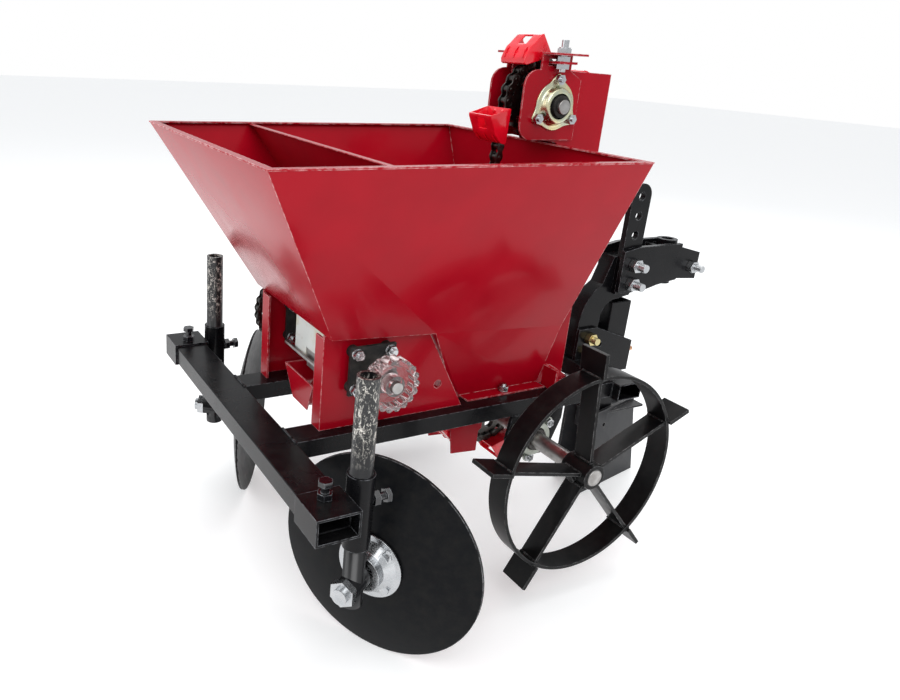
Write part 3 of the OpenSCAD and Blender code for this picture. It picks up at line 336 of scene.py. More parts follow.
def new_tree(name, inputs):
    """A Geometry Nodes tree with a geometry socket each way and named inputs."""
    tree = bpy.data.node_groups.new(name, "GeometryNodeTree")
    tree.interface.new_socket("Geometry", in_out="INPUT", socket_type="NodeSocketGeometry")
    for label, kind, value in inputs:
        socket = tree.interface.new_socket(label, in_out="INPUT", socket_type="NodeSocket" + kind)
        if value is not None:
            socket.default_value = value
    tree.interface.new_socket("Geometry", in_out="OUTPUT", socket_type="NodeSocketGeometry")
    return tree, tree.nodes.new("NodeGroupInput").outputs, tree.nodes.new("NodeGroupOutput").inputs


def grown(name, base, tree, values):
    """Runs a tree on base and leaves a plain mesh."""
    piece = bpy.data.objects.new(name, base)
    scene.collection.objects.link(piece)
    modifier = piece.modifiers.new(tree.name, "NODES")
    modifier.node_group = tree
    for item in tree.interface.items_tree:
        if item.in_out == "INPUT" and item.name in values:
            modifier[item.identifier] = values[item.name]
    return applied(piece)


# overlapping drops of weld along a joint
weld_tree, gi, go = new_tree("weld_bead", [("Bead", "Float", 0.0022), ("Spacing", "Float", 0.0016),
    ("Seed", "Int", 4), ("Material", "Material", None)])
run = node(weld_tree, "GeometryNodeMeshToCurve", {"Mesh": gi["Geometry"]})
run = node(weld_tree, "GeometryNodeResampleCurve", {"Curve": run.outputs[0], "Length": gi["Spacing"]}, mode="LENGTH")
drop = node(weld_tree, "GeometryNodeMeshUVSphere", {"Segments": 8, "Rings": 5, "Radius": gi["Bead"]})
swell = node(weld_tree, "FunctionNodeRandomValue", {"Seed": gi["Seed"]}, data_type="FLOAT")
swell.inputs[2].default_value, swell.inputs[3].default_value = 0.82, 1.12
drops = node(weld_tree, "GeometryNodeInstanceOnPoints", {"Points": run.outputs[0], "Instance": drop.outputs[0],
    "Scale": swell.outputs[1]})
solid = node(weld_tree, "GeometryNodeRealizeInstances", {"Geometry": drops.outputs[0]})
smooth = node(weld_tree, "GeometryNodeSetShadeSmooth", {"Geometry": solid.outputs[0]})
dressed = node(weld_tree, "GeometryNodeSetMaterial", {"Geometry": smooth.outputs[0], "Material": gi["Material"]})
weld_tree.links.new(dressed.outputs[0], go["Geometry"])


def polylines(name, runs):
    """Edges through lists of points given in millimetres; a closed run repeats its first point."""
    mesh = bpy.data.meshes.new(name)
    points, edges = [], []
    for chain_run in runs:
        edges += [(len(points) + i, len(points) + i + 1) for i in range(len(chain_run) - 1)]
        points += [Vector(p) * MM for p in chain_run]
    mesh.from_pydata(points, edges, [])
    return mesh


def weld(name, runs, body, material, bead=2.2):
    piece = grown(name, polylines(name, runs), weld_tree, {"Bead": bead * MM, "Spacing": bead * 0.75 * MM,
        "Material": material})
    finish_mesh(piece, [], body)
    return piece


def box_mm(node_name):
    low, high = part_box(node_name)
    return Vector(low) * 1000, Vector(high) * 1000


bar_r, bar_l = box_mm("side_bar_right"), box_mm("side_bar_left")
frame_welds = []
for low, high in (bar_r, bar_l):
    for x in (low.x - 0.4, high.x + 0.4):
        frame_welds.append([(x, low.y + 1, high.z + 0.2), (x, high.y - 1, high.z + 0.2)])
        frame_welds.append([(x, low.y - 0.2, high.z), (x, low.y - 0.2, low.z)])
        frame_welds.append([(x, high.y + 0.2, high.z), (x, high.y + 0.2, low.z)])
weld("frame_welds", frame_welds, "frame", BLACK_PAINT)

# ---- Hopper -----------------------------------------------------------------
# Folded and welded 2 mm sheet, sprayed a glossy red. The rim is turned
# inwards, and a sloping sheet divides tubers from fertiliser. Pale pink along
# the folds and the rim is wear and a painted highlight on those edges.
# pale pink edge tone (0.85, 0.62, 0.62): painted highlight on the rim and folds, together with wear
RED_PAINT = painted("red_paint", (0.34, 0.0015, 0.010), (0.85, 0.62, 0.62), 0.22, 0.06, 0.8, 0.0, 0.05, 0.12)
for sheet in ("hopper_shell", "hopper_divider"):
    softened(sheet, [RED_PAINT], 0.0009)
for sheet in ("hopper_feet", "metering_cheek_right", "metering_cheek_left", "fertiliser_chute",
              "head_cheeks", "seed_tube", "seed_throat"):
    softened(sheet, [RED_PAINT], 0.0006)

rim_low, rim_high = box_mm("hopper_shell")
div_low, div_high = box_mm("hopper_divider")
fold = bmesh.new()
fold_y = rim_high.y - 9
section = [(div_low.x - 6, div_high.z), (div_low.x + 2.6, div_high.z), (div_low.x + 2.6, div_high.z + 1.6),
           (div_low.x - 6, div_high.z + 1.6)]
ends = [[fold.verts.new(Vector((x, y, z)) * MM) for x, z in section] for y in (-fold_y, fold_y)]
fold.faces.new(ends[0])
fold.faces.new(reversed(ends[1]))
for i in range(4):
    fold.faces.new((ends[0][i], ends[1][i], ends[1][(i + 1) % 4], ends[0][(i + 1) % 4]))
bmesh.ops.recalc_face_normals(fold, faces=fold.faces)
fold_piece = add_object("divider_fold", fold, [RED_PAINT])
fold_edge = fold_piece.modifiers.new("edge", "BEVEL")
fold_edge.width, fold_edge.segments = 0.0006, 3
finish_mesh(applied(fold_piece), [], "frame")

# ---- Bolts, nuts and studs --------------------------------------------------
# Bright zinc hardware, with rolled threads where the studs stand out of
# their nuts. Rubbed, slightly cloudy plating.


def metal(name, colour, second, rough, scale=60.0, bump_by=0.04, coat=0.0):
    material, tree, place, shader = start_material(name)
    cloud = noise(tree, place, scale, 4.0)
    fine = noise(tree, place, scale * 9, 2.0)
    rubbed_and_lit = placed_group(tree, edge_wear, {"Vector": place, "Amount": 0.35, "Width": 0.0008})["Mask"]
    bright = tuple(min(1.0, c * 1.35 + 0.05) for c in colour)
    tone = mix(tree, span(tree, cloud, 0.38, 0.64), colour, second)
    tree.links.new(mix(tree, rubbed_and_lit, tone, bright), shader.inputs["Base Color"])
    tree.links.new(span(tree, fine, 0.3, 0.7, rough * 0.75, rough * 1.3), shader.inputs["Roughness"])
    shader.inputs["Metallic"].default_value = 1.0
    shader.inputs["Coat Weight"].default_value = coat
    bump(tree, shader, fine, bump_by, 0.0002)
    return material


ZINC = metal("zinc_plate", (0.50, 0.51, 0.52), (0.44, 0.455, 0.47), 0.24)
YELLOW_ZINC = metal("yellow_zinc", (0.72, 0.62, 0.34), (0.52, 0.55, 0.42), 0.28, 42.0)
BARE_STEEL = metal("bare_steel", (0.42, 0.41, 0.40), (0.26, 0.25, 0.24), 0.36)
DARK_STEEL = metal("dark_steel", (0.075, 0.07, 0.065), (0.03, 0.028, 0.026), 0.36, 90.0, 0.3, 0.25)
COPPER = metal("copper_stud", (0.62, 0.34, 0.20), (0.45, 0.30, 0.16), 0.34)

copies_tree, gi, go = new_tree("placed_copies", [("Shape", "Object", None), ("Material", "Material", None)])
shape = node(copies_tree, "GeometryNodeObjectInfo", {"Object": gi["Shape"]})
turn = node(copies_tree, "GeometryNodeInputNamedAttribute", {"Name": "turn"}, data_type="FLOAT_VECTOR")
size = node(copies_tree, "GeometryNodeInputNamedAttribute", {"Name": "size"}, data_type="FLOAT")
turned = node(copies_tree, "FunctionNodeEulerToRotation", {0: turn.outputs["Attribute"]})
copies = node(copies_tree, "GeometryNodeInstanceOnPoints", {"Points": gi["Geometry"],
    "Instance": shape.outputs["Geometry"], "Rotation": turned.outputs[0], "Scale": size.outputs["Attribute"]})
solid = node(copies_tree, "GeometryNodeRealizeInstances", {"Geometry": copies.outputs[0]})
dressed = node(copies_tree, "GeometryNodeSetMaterial", {"Geometry": solid.outputs[0], "Material": gi["Material"]})
copies_tree.links.new(dressed.outputs[0], go["Geometry"])


def pattern_shape(name, bm):
    """A shape that only stands in a tree; it is removed once the copies are made."""
    mesh = bpy.data.meshes.new(name)
    bm.to_mesh(mesh)
    bm.free()
    for face in mesh.polygons:
        face.use_smooth = True
    mesh.set_sharp_from_angle(angle=math.radians(35))
    shape_object = bpy.data.objects.new(name, mesh)
    scene.collection.objects.link(shape_object)
    return shape_object


def placed(name, shape_object, spots, material):
    """Copies at spots, each (place in mm, turn as a 3x3 matrix, size)."""
    base = bpy.data.meshes.new(name)
    base.from_pydata([Vector(spot[0]) * MM for spot in spots], [], [])
    base.attributes.new("turn", "FLOAT_VECTOR", "POINT")
    base.attributes.new("size", "FLOAT", "POINT")
    base.attributes["turn"].data.foreach_set("vector", [a for spot in spots for a in spot[1].to_euler()])
    base.attributes["size"].data.foreach_set("value", [spot[2] for spot in spots])
    return grown(name, base, copies_tree, {"Shape": shape_object, "Material": material})


def along(axis):
    """A turn that takes Z to the axis."""
    return Vector((0, 0, 1)).rotation_difference(Vector(axis)).to_matrix()


ridge = bmesh.new()
ridge_sides = 20
ridge_rows = []
for radius, height in ((0.96, -0.15), (1.05, 0.0), (0.96, 0.15)):
    ridge_rows.append([ridge.verts.new((radius * math.cos(a), radius * math.sin(a), height))
        for a in (2 * math.pi * i / ridge_sides for i in range(ridge_sides))])
for k in (0, 1):
    for i in range(ridge_sides):
        j = (i + 1) % ridge_sides
        ridge.faces.new((ridge_rows[k][i], ridge_rows[k][j], ridge_rows[k + 1][j], ridge_rows[k + 1][i]))
ridge_shape = pattern_shape("thread_ridge", ridge)


def islands(node_name):
    """Boxes, in mm, of the separate solids of a CAD node."""
    bm = loose_mesh(node_name)
    boxes = [(low, high) for _, low, high in grouped(bm)]
    bm.free()
    return boxes


def threads(name, studs, body, material=None):
    """Ridges on studs, each (end point, direction inwards, diameter, length)."""
    spots = []
    for end, inward, diameter, length in studs:
        step = 0.16 * diameter
        for i in range(int(length / step)):
            spots.append((Vector(end) + Vector(inward) * (step * (i + 0.6)), along(inward), diameter / 2 * MM))
    piece = placed(name, ridge_shape, spots, material or ZINC)
    finish_mesh(piece, [], body)


def both_ends(node_name, axis, diameter, low_length, high_length):
    """Threads at both ends of every bolt of a node that lies along axis 0, 1 or 2."""
    studs = []
    for low, high in islands(node_name):
        middle = (low + high) / 2
        if max((high - low)[k] for k in range(3) if k != axis) > 2.6 * diameter:
            continue
        for end, sign, length in ((low, 1, low_length), (high, -1, high_length)):
            if length:
                point, inward = middle.copy(), Vector((0, 0, 0))
                point[axis], inward[axis] = end[axis], sign
                studs.append((point, inward, diameter, length))
    return studs


for hardware, slot_name, material in (("hopper_fasteners", "zinc_plate", ZINC), ("head_bolts", "zinc_plate", ZINC),
        ("hitch_bolts", "zinc_plate", ZINC), ("drawbar_bolt", "zinc_plate", ZINC)):
    softened(hardware, [material], 0.0007)
threads("hopper_threads", both_ends("hopper_fasteners", 2, 8, 0, 5), "frame")
threads("hitch_threads", both_ends("hitch_bolts", 1, 13.6, 14, 12)
    + both_ends("drawbar_bolt", 1, 12, 13, 10), "frame")

# ---- Cup elevator -----------------------------------------------------------
# An endless roller chain runs over a foot sprocket on the wheel axle and a
# head sprocket above the rim. It is oiled steel with riveted pins. The cups
# are moulded in glossy red plastic and riveted to its links.
CUP_STEP, FIRST_CUP = 6, 4.5
PITCH = 15.875
TEETH = 23
RUN = 30.5
PHASE = 0.55
joints = {j["name"]: j for j in frame["joints"]}
foot = Vector([joints["axle_spin"]["pos_m"][k] * 1000 for k in (0, 2)])
head = Vector([joints["head_spin"]["pos_m"][k] * 1000 for k in (0, 2)])
row_y = joints["axle_spin"]["pos_m"][1] * 1000
sprocket_r = PITCH / 2 / math.sin(math.pi / TEETH)
run_u = (head - foot).normalized()
run_n = Vector((-run_u.y, run_u.x))


def pin_at(t):
    """Place of the chain at t pitches from the foot, as (x, z) in mm."""
    wrap = TEETH / 2
    t %= TEETH + 2 * RUN
    if t < RUN:
        return foot + run_n * sprocket_r + run_u * t * PITCH
    if t < RUN + wrap:
        a = (t - RUN) / wrap * math.pi
        return head + sprocket_r * (run_n * math.cos(a) + run_u * math.sin(a))
    if t < 2 * RUN + wrap:
        return head - run_n * sprocket_r - run_u * (t - RUN - wrap) * PITCH
    a = (t - 2 * RUN - wrap) / wrap * math.pi
    return foot - sprocket_r * (run_n * math.cos(a) + run_u * math.sin(a))


def disc_into(bm, centre, radius, half, sides, inset=0.0):
    """A short round bar along Y, with its ends drawn in by inset."""
    rings = []
    for y, r in ((-half, radius - inset), (-half + inset, radius), (half - inset, radius), (half, radius - inset)):
        rings.append([bm.verts.new((centre[0] + r * math.cos(a), y, centre[1] + r * math.sin(a)))
            for a in (2 * math.pi * i / sides for i in range(sides))])
    for k in range(3):
        for i in range(sides):
            j = (i + 1) % sides
            bm.faces.new((rings[k][i], rings[k][j], rings[k + 1][j], rings[k + 1][i]))
    bm.faces.new(rings[0][::-1])
    bm.faces.new(rings[3])


def link_shape(name, pitch, height, plate_y, plate_t, waist, pins):
    """One link in metres, from its first pin at the origin along X."""
    bm = bmesh.new()
    r, steps = height / 2, 8
    outline = [(pitch + r * math.cos(a), r * math.sin(a)) for a in
               (math.radians(-110 + 220 * i / steps) for i in range(steps + 1))]
    outline.append((pitch / 2, r * waist))
    outline += [(r * math.cos(a), r * math.sin(a)) for a in
                (math.radians(70 + 220 * i / steps) for i in range(steps + 1))]
    outline.append((pitch / 2, -r * waist))
    for s in (-1, 1):
        layers = []
        for y, shrink in ((-plate_t / 2, 0.93), (-plate_t / 3, 1.0), (plate_t / 3, 1.0), (plate_t / 2, 0.93)):
            layers.append([bm.verts.new((pitch / 2 + (x - pitch / 2) * (1 - (1 - shrink) * 0.5),
                s * plate_y + y, z * shrink)) for x, z in outline])
        for k in range(3):
            for i in range(len(outline)):
                j = (i + 1) % len(outline)
                bm.faces.new((layers[k][i], layers[k][j], layers[k + 1][j], layers[k + 1][i]))
        bm.faces.new(layers[0][::-1])
        bm.faces.new(layers[3])
    for x in (0, pitch):
        for radius, half, inset in pins:
            disc_into(bm, (x, 0), radius, half, 12, inset)
    for v in bm.verts:
        v.co *= MM
    bmesh.ops.recalc_face_normals(bm, faces=bm.faces)
    return pattern_shape(name, bm)


def chain_spots(pins, kind, y):
    spots = []
    for i in range(len(pins)):
        if i % 2 != kind:
            continue
        a, b = pins[i], pins[(i + 1) % len(pins)]
        slope = math.atan2(b.y - a.y, b.x - a.x)
        spots.append(((a.x, y, a.y), Matrix.Rotation(-slope, 3, "Y"), 1.0))
    return spots


def joined(name, parts, node_names, body):
    """Several pieces on one body made into one."""
    for part in parts:
        part.select_set(True)
    bpy.context.view_layer.objects.active = parts[0]
    bpy.ops.object.join()
    parts[0].name = parts[0].data.name = name
    parts[0].select_set(False)
    finish_mesh(parts[0], node_names, body)
    return parts[0]


bpy.ops.object.select_all(action="DESELECT")
elevator_pins = [pin_at(i + PHASE) for i in range(TEETH + int(2 * RUN))]
inner_link = link_shape("inner_link", PITCH, 14, 5.6, 1.55, 0.62, [(5.05, 4.75, 0.3)])
outer_link = link_shape("outer_link", PITCH, 12.9, 7.25, 1.55, 0.62, [(2.5, 8.9, 0.5)])
chain_parts = [placed("chain_inner", inner_link, chain_spots(elevator_pins, 0, row_y), DARK_STEEL),
               placed("chain_outer", outer_link, chain_spots(elevator_pins, 1, row_y), DARK_STEEL)]
joined("elevator_chain", chain_parts, ["chain_rising", "chain_over_head", "chain_falling", "chain_under_foot"],
    "frame")
for link in (inner_link, outer_link):
    bpy.data.objects.remove(link)
for wheel_part in ("foot_sprocket", "head_sprocket", "axle_sprocket", "metering_sprocket"):
    softened(wheel_part, [DARK_STEEL], 0.0004)

# moulded cup: a scoop of 2.4 mm plastic, with ribs and a slot in its nose
CUP_PLASTIC, tree, place, shader = start_material("cup_plastic")
cup_cloud = noise(tree, place, 45.0, 3.0)
tree.links.new(mix(tree, span(tree, cup_cloud, 0.35, 0.7), (0.78, 0.004, 0.02), (0.62, 0.003, 0.012)),
    shader.inputs["Base Color"])
tree.links.new(span(tree, cup_cloud, 0.3, 0.7, 0.14, 0.26), shader.inputs["Roughness"])
shader.inputs["Subsurface Weight"].default_value = 0.08
shader.inputs["Subsurface Radius"].default_value = (0.004, 0.0006, 0.0006)
shader.inputs["Coat Weight"].default_value = 0.5
bump(tree, shader, cup_cloud, 0.12, 0.0006)

cup = bmesh.new()
CUP_HALF = 26.0
back = 7.2
path = [(back, 14), (back, 2), (back, -16), (back, -33), (back + 2.5, -35.2), (back + 8, -34.5),
        (back + 13, -31), (back + 22, -22), (31.5, -16.5), (36.5, -7.5), (39.5, -2), (40.6, 2.6)]
columns = [-CUP_HALF, -CUP_HALF + 3, -15, -9, -3, 3, 9, 15, CUP_HALF - 3, CUP_HALF]
grid = [[cup.verts.new((x, y, z)) for y in columns] for x, z in path]
for i in range(len(path) - 1):
    for j in range(len(columns) - 1):
        if 8 <= i <= 9 and 3 <= j <= 5:
            continue
        cup.faces.new((grid[i][j], grid[i + 1][j], grid[i + 1][j + 1], grid[i][j + 1]))
for j in (0, len(columns) - 1):
    flank = [row[j] for row in grid]
    flank = flank if j == 0 else flank[::-1]
    cup.faces.new(flank)
bmesh.ops.recalc_face_normals(cup, faces=cup.faces)
wall_mesh = bpy.data.meshes.new("cup_wall")
cup.to_mesh(wall_mesh)
cup.free()
wall_object = bpy.data.objects.new("cup_wall", wall_mesh)
scene.collection.objects.link(wall_object)
wall = wall_object.modifiers.new("wall", "SOLIDIFY")
wall.thickness, wall.offset = 2.4, -1
cup_edge = wall_object.modifiers.new("edge", "BEVEL")
cup_edge.width, cup_edge.segments, cup_edge.angle_limit = 0.7, 2, math.radians(30)
cup_edge.limit_method = "ANGLE"
applied(wall_object)
cup = bmesh.new()
cup.from_mesh(wall_object.data)
bpy.data.objects.remove(wall_object)
for y in (-8, 8):
    for radius, out in ((4.6, 0.9), (2.9, 1.9)):
        start = [cup.verts.new((back + 2.3, y + radius * math.cos(a), 9 + radius * math.sin(a)))
            for a in (math.tau * i / 12 for i in range(12))]
        crown = [cup.verts.new((back + 2.3 + out, y + 0.7 * radius * math.cos(a), 9 + 0.7 * radius * math.sin(a)))
            for a in (math.tau * i / 12 for i in range(12))]
        for i in range(12):
            cup.faces.new((start[i], start[(i + 1) % 12], crown[(i + 1) % 12], crown[i]))
        cup.faces.new(crown)
for y in (-19.5, 0, 19.5):
    rib = [cup.verts.new((x, y + s * 1.1, z)) for s in (-1, 1)
           for x, z in ((back + 9.5, -34.6), (back + 22.5, -22.6), (back + 18.5, -29.8))]
    cup.faces.new(rib[:3])
    cup.faces.new(rib[:2:-1])
    for i in range(3):
        cup.faces.new((rib[i], rib[i + 3], rib[(i + 1) % 3 + 3], rib[(i + 1) % 3]))
bmesh.ops.scale(cup, vec=(MM, MM, MM), verts=cup.verts)
cup_shape = pattern_shape("cup_shape", cup)
cup_spots = []
for i in range(0, TEETH + int(2 * RUN), CUP_STEP):
    t = i + FIRST_CUP + PHASE
    a, b = pin_at(t - 0.5), pin_at(t + 0.5)
    travel = (b - a).normalized()
    outward = Vector((-travel.y, 0, travel.x))
    rise = Vector((travel.x, 0, travel.y))
    middle = (a + b) / 2
    cup_spots.append(((middle.x, row_y, middle.y), Matrix((outward, rise.cross(outward), rise)).transposed(), 1.0))
cups = placed("cups", cup_shape, cup_spots, CUP_PLASTIC)
finish_mesh(cups, ["seed_cups"], "frame")
bpy.data.objects.remove(cup_shape)

# pressed three-bolt bearing flanges of the head shaft
flange_bm = bmesh.new()
FLANGE_SIDES = 96
for s in (-1, 1):
    face_y = min(i[0].y for i in islands("head_bearing_flanges")) + 13 if s < 0 else \
        max(i[1].y for i in islands("head_bearing_flanges")) - 13
    profile = [(1.0, 0.0), (1.0, 1.6), (0.985, 2.3), (0.95, 2.5)]
    rings = []
    for share, height in profile + [(None, r) for r in range(9)]:
        ring_row = []
        for i in range(FLANGE_SIDES):
            a = math.tau * i / FLANGE_SIDES
            lobe = max(math.cos(1.5 * (((a - math.pi / 2) + math.pi / 3) % (math.tau / 3) - math.pi / 3)), 0) ** 13
            rim = 34.0 + 10.0 * lobe
            if share is not None:
                r, h = rim * share, height
            else:
                r, h = [(30.5, 2.5), (28.0, 2.9), (26.2, 4.4), (25.4, 7.5), (24.4, 10.6), (22.6, 12.4), (20.2, 13.0),
                        (17.8, 12.7), (17.4, 10.4)][height]
            ring_row.append(flange_bm.verts.new(((head.x + r * math.cos(a)) * MM, (face_y + s * h) * MM,
                (head.y + r * math.sin(a)) * MM)))
        rings.append(ring_row)
    for k in range(len(rings) - 1):
        for i in range(FLANGE_SIDES):
            j = (i + 1) % FLANGE_SIDES
            quad = (rings[k][i], rings[k][j], rings[k + 1][j], rings[k + 1][i])
            flange_bm.faces.new(quad if s > 0 else quad[::-1])
flange = add_object("pressed_flanges", flange_bm, [YELLOW_ZINC], 50)
bm = bmesh.new()
bm.from_mesh(flange.data)
bmesh.ops.recalc_face_normals(bm, faces=bm.faces)
bm.to_mesh(flange.data)
bm.free()
finish_mesh(flange, ["head_bearing_flanges"], "frame")

RUBBER_BLACK = painted("black_plastic", (0.018, 0.018, 0.018), (0.06, 0.06, 0.06), 0.45, 0.0, 0.3, 0.18)
softened("head_bearing_inserts", [RUBBER_BLACK], 0.0006)
softened("head_shaft", [BARE_STEEL], 0.0012)

# ---- Fertiliser metering unit -----------------------------------------------
# A fluted roller turns in a moulded white housing below the rear box. The
# housing is stained by fertiliser. Black plastic blocks carry its shaft, and
# a clear knurled knob sets the rate. A small roller chain drives it.
STAINED_WHITE, tree, place, shader = start_material("stained_plastic")
stain = span(tree, noise(tree, place, 26.0, 5.0, 0.6), 0.46, 0.66)
speck = span(tree, noise(tree, place, 150.0, 3.0), 0.60, 0.72)
tone = mix(tree, math_node(tree, "MULTIPLY", stain, 0.55), (0.58, 0.60, 0.58), (0.46, 0.41, 0.24))
tree.links.new(mix(tree, math_node(tree, "MULTIPLY", speck, 0.35), tone, (0.36, 0.30, 0.20)),
    shader.inputs["Base Color"])
tree.links.new(span(tree, stain, 0, 1, 0.32, 0.55), shader.inputs["Roughness"])
shader.inputs["Subsurface Weight"].default_value = 0.12
shader.inputs["Subsurface Radius"].default_value = (0.003, 0.003, 0.002)
bump(tree, shader, stain, 0.08, 0.0004)
GATE_GREY = painted("grey_plastic", (0.16, 0.16, 0.165), (0.3, 0.3, 0.3), 0.42, 0.0, 0.3, 0.15)

CLEAR_PLASTIC, tree, place, shader = start_material("clear_plastic")
haze = noise(tree, place, 70.0, 3.0)
tree.links.new(mix(tree, haze, (0.96, 0.88, 0.88), (0.93, 0.80, 0.80)), shader.inputs["Base Color"])
tree.links.new(span(tree, haze, 0.3, 0.7, 0.03, 0.10), shader.inputs["Roughness"])
shader.inputs["Transmission Weight"].default_value = 0.96
shader.inputs["IOR"].default_value = 1.46

softened("metering_body", [STAINED_WHITE], 0.0012, segments=3)
softened("metering_roller", [STAINED_WHITE], 0.0005)
softened("metering_gate", [BARE_STEEL, GATE_GREY], 0.0005,
    pick=lambda centre, low, high: 1 if high.y - low.y < 60 else 0)
softened("metering_shaft", [BARE_STEEL], 0.001)
softened("metering_bearings", [RUBBER_BLACK, ZINC], 0.0009,
    pick=lambda centre, low, high: 0 if low.y + 12.9 < centre.y < low.y + 27.1 else 1)
softened("rate_knob", [CLEAR_PLASTIC], 0.0007, segments=3)

# washers under the nuts of the bearing blocks
washer = bmesh.new()
washer_rings = []
for radius, height in ((0.5, 0.0), (1.0, 0.0), (1.0, 0.12), (0.96, 0.18), (0.5, 0.18)):
    washer_rings.append([washer.verts.new((radius * math.cos(a), radius * math.sin(a), height))
        for a in (math.tau * i / 24 for i in range(24))])
for k in range(5):
    for i in range(24):
        j = (i + 1) % 24
        upper = washer_rings[(k + 1) % 5]
        washer.faces.new((washer_rings[k][i], washer_rings[k][j], upper[j], upper[i]))
bmesh.ops.recalc_face_normals(washer, faces=washer.faces)
washer_shape = pattern_shape("washer_shape", washer)

DRIVE_PITCH = 12.7
METER_TEETH, DRIVE_TEETH = 28, 14
chain_low, chain_high = box_mm("fertiliser_chain")
drive_y = (chain_low.y + chain_high.y) / 2
meter = Vector([joints["metering_spin"]["pos_m"][k] * 1000 for k in (0, 2)])
meter_r, drive_r = (DRIVE_PITCH / 2 / math.sin(math.pi / n) for n in (METER_TEETH, DRIVE_TEETH))
drive_u = (foot - meter).normalized()
drive_v = Vector((-drive_u.y, drive_u.x))
drive_tilt = math.asin((meter_r - drive_r) / (foot - meter).length)
straight = (foot - meter).length * math.cos(drive_tilt)
small_arc = drive_r * (math.pi - 2 * drive_tilt)
loop = 2 * straight + small_arc + meter_r * (math.pi + 2 * drive_tilt)
links = 2 * round(loop / DRIVE_PITCH / 2)


def on_sprocket(centre, radius, angle):
    return centre + radius * (drive_v * math.cos(angle) + drive_u * math.sin(angle))


def drive_pin(s):
    """Place of the drive chain s mm from where it leaves the metering sprocket."""
    s %= loop
    if s < straight:
        return on_sprocket(meter, meter_r, drive_tilt).lerp(on_sprocket(foot, drive_r, drive_tilt), s / straight)
    s -= straight
    if s < small_arc:
        return on_sprocket(foot, drive_r, drive_tilt + s / drive_r)
    s -= small_arc
    if s < straight:
        return on_sprocket(foot, drive_r, math.pi - drive_tilt).lerp(
            on_sprocket(meter, meter_r, math.pi - drive_tilt), s / straight)
    return on_sprocket(meter, meter_r, math.pi - drive_tilt + (s - straight) / meter_r)


drive_pins = [drive_pin(i * loop / links) for i in range(links)]
small_inner = link_shape("small_inner", loop / links, 10.4, 4.9, 1.15, 0.62, [(4.2, 4.2, 0.3)])
small_outer = link_shape("small_outer", loop / links, 9.6, 6.2, 1.15, 0.62, [(2.1, 7.6, 0.4)])
joined("drive_chain", [placed("drive_inner", small_inner, chain_spots(drive_pins, 0, drive_y), DARK_STEEL),
    placed("drive_outer", small_outer, chain_spots(drive_pins, 1, drive_y), DARK_STEEL)],
    ["fertiliser_chain"], "frame")
for link in (small_inner, small_outer):
    bpy.data.objects.remove(link)

block_spots, block_studs = [], []
for low, high in islands("metering_bearings"):
    for dx in (-25, 25):
        for dz in (-25, 25):
            block_spots.append(((meter.x + dx, low.y + 13, meter.y + dz), along((0, -1, 0)), 8.0 * MM))
            block_studs.append(((meter.x + dx, low.y, meter.y + dz), (0, 1, 0), 8, 5))
threads("block_threads", block_studs, "frame")
piece = placed("block_washers", washer_shape, block_spots, ZINC)
finish_mesh(piece, [], "frame")
bpy.data.objects.remove(washer_shape)

# ---- Ground wheels and their axle -------------------------------------------
# Rolled flat-bar rims with welded cleats and flat spokes, sprayed black. The
# tread is rubbed and dusty. Three-bolt flange bearings on black hangers carry
# the bright axle.
WHEEL_BLACK = painted("wheel_black", (0.0045, 0.0045, 0.005), (0.26, 0.26, 0.26), 0.34, 0.03, 0.7, 0.02)
FLANGE_ZINC = metal("flange_zinc", (0.50, 0.52, 0.47), (0.36, 0.38, 0.33), 0.4, 38.0)
SPOKES, FIRST_SPOKE = 5, 95
RIM_INSIDE, RIM_OUTSIDE, HUB_OUTSIDE = 144.6, 151.4, 20.5
for side_name in ("right", "left"):
    softened("wheel_rim_" + side_name, [WHEEL_BLACK], 0.0009)
    softened("wheel_spider_" + side_name, [WHEEL_BLACK], 0.0008)
    spider_low, spider_high = box_mm("wheel_spider_" + side_name)
    hub_y = (spider_low.y + spider_high.y) / 2
    wheel_runs = []
    for i in range(SPOKES):
        a = math.radians(FIRST_SPOKE + 360 / SPOKES * i)
        radial, across = Vector((math.cos(a), 0, math.sin(a))), Vector((-math.sin(a), 0, math.cos(a)))
        centre = Vector((foot.x, hub_y, foot.y))
        for face in (-1, 1):
            for reach, off, half in ((RIM_INSIDE, 2.6, 14), (HUB_OUTSIDE, 2.6, 14), (RIM_OUTSIDE, 3.1, 16)):
                middle = centre + radial * reach + across * (face * off)
                wheel_runs.append([middle + Vector((0, -half, 0)), middle + Vector((0, half, 0))])
    weld("wheel_welds_" + side_name, wheel_runs, "ground_wheels", WHEEL_BLACK, 1.9)
softened("wheel_axle", [BARE_STEEL], 0.0015)
softened("axle_hangers", [BLACK_PAINT], 0.001)
softened("axle_bearings", [FLANGE_ZINC, DARK_STEEL, ZINC], 0.0007,
    pick=lambda centre, low, high: 1 if high.x - low.x < 56 else (
        2 if centre.y > low.y + 18.9 or centre.y < low.y + 10.4 and (centre.xz - foot).length > 28 else 0))
hanger_runs = []
for low, high in islands("axle_hangers"):
    for y in (low.y, high.y):
        hanger_runs.append([(low.x + 8, y, high.z - 0.5), (high.x - 4, y, high.z - 0.5)])
weld("hanger_welds", hanger_runs, "frame", BLACK_PAINT, 1.8)

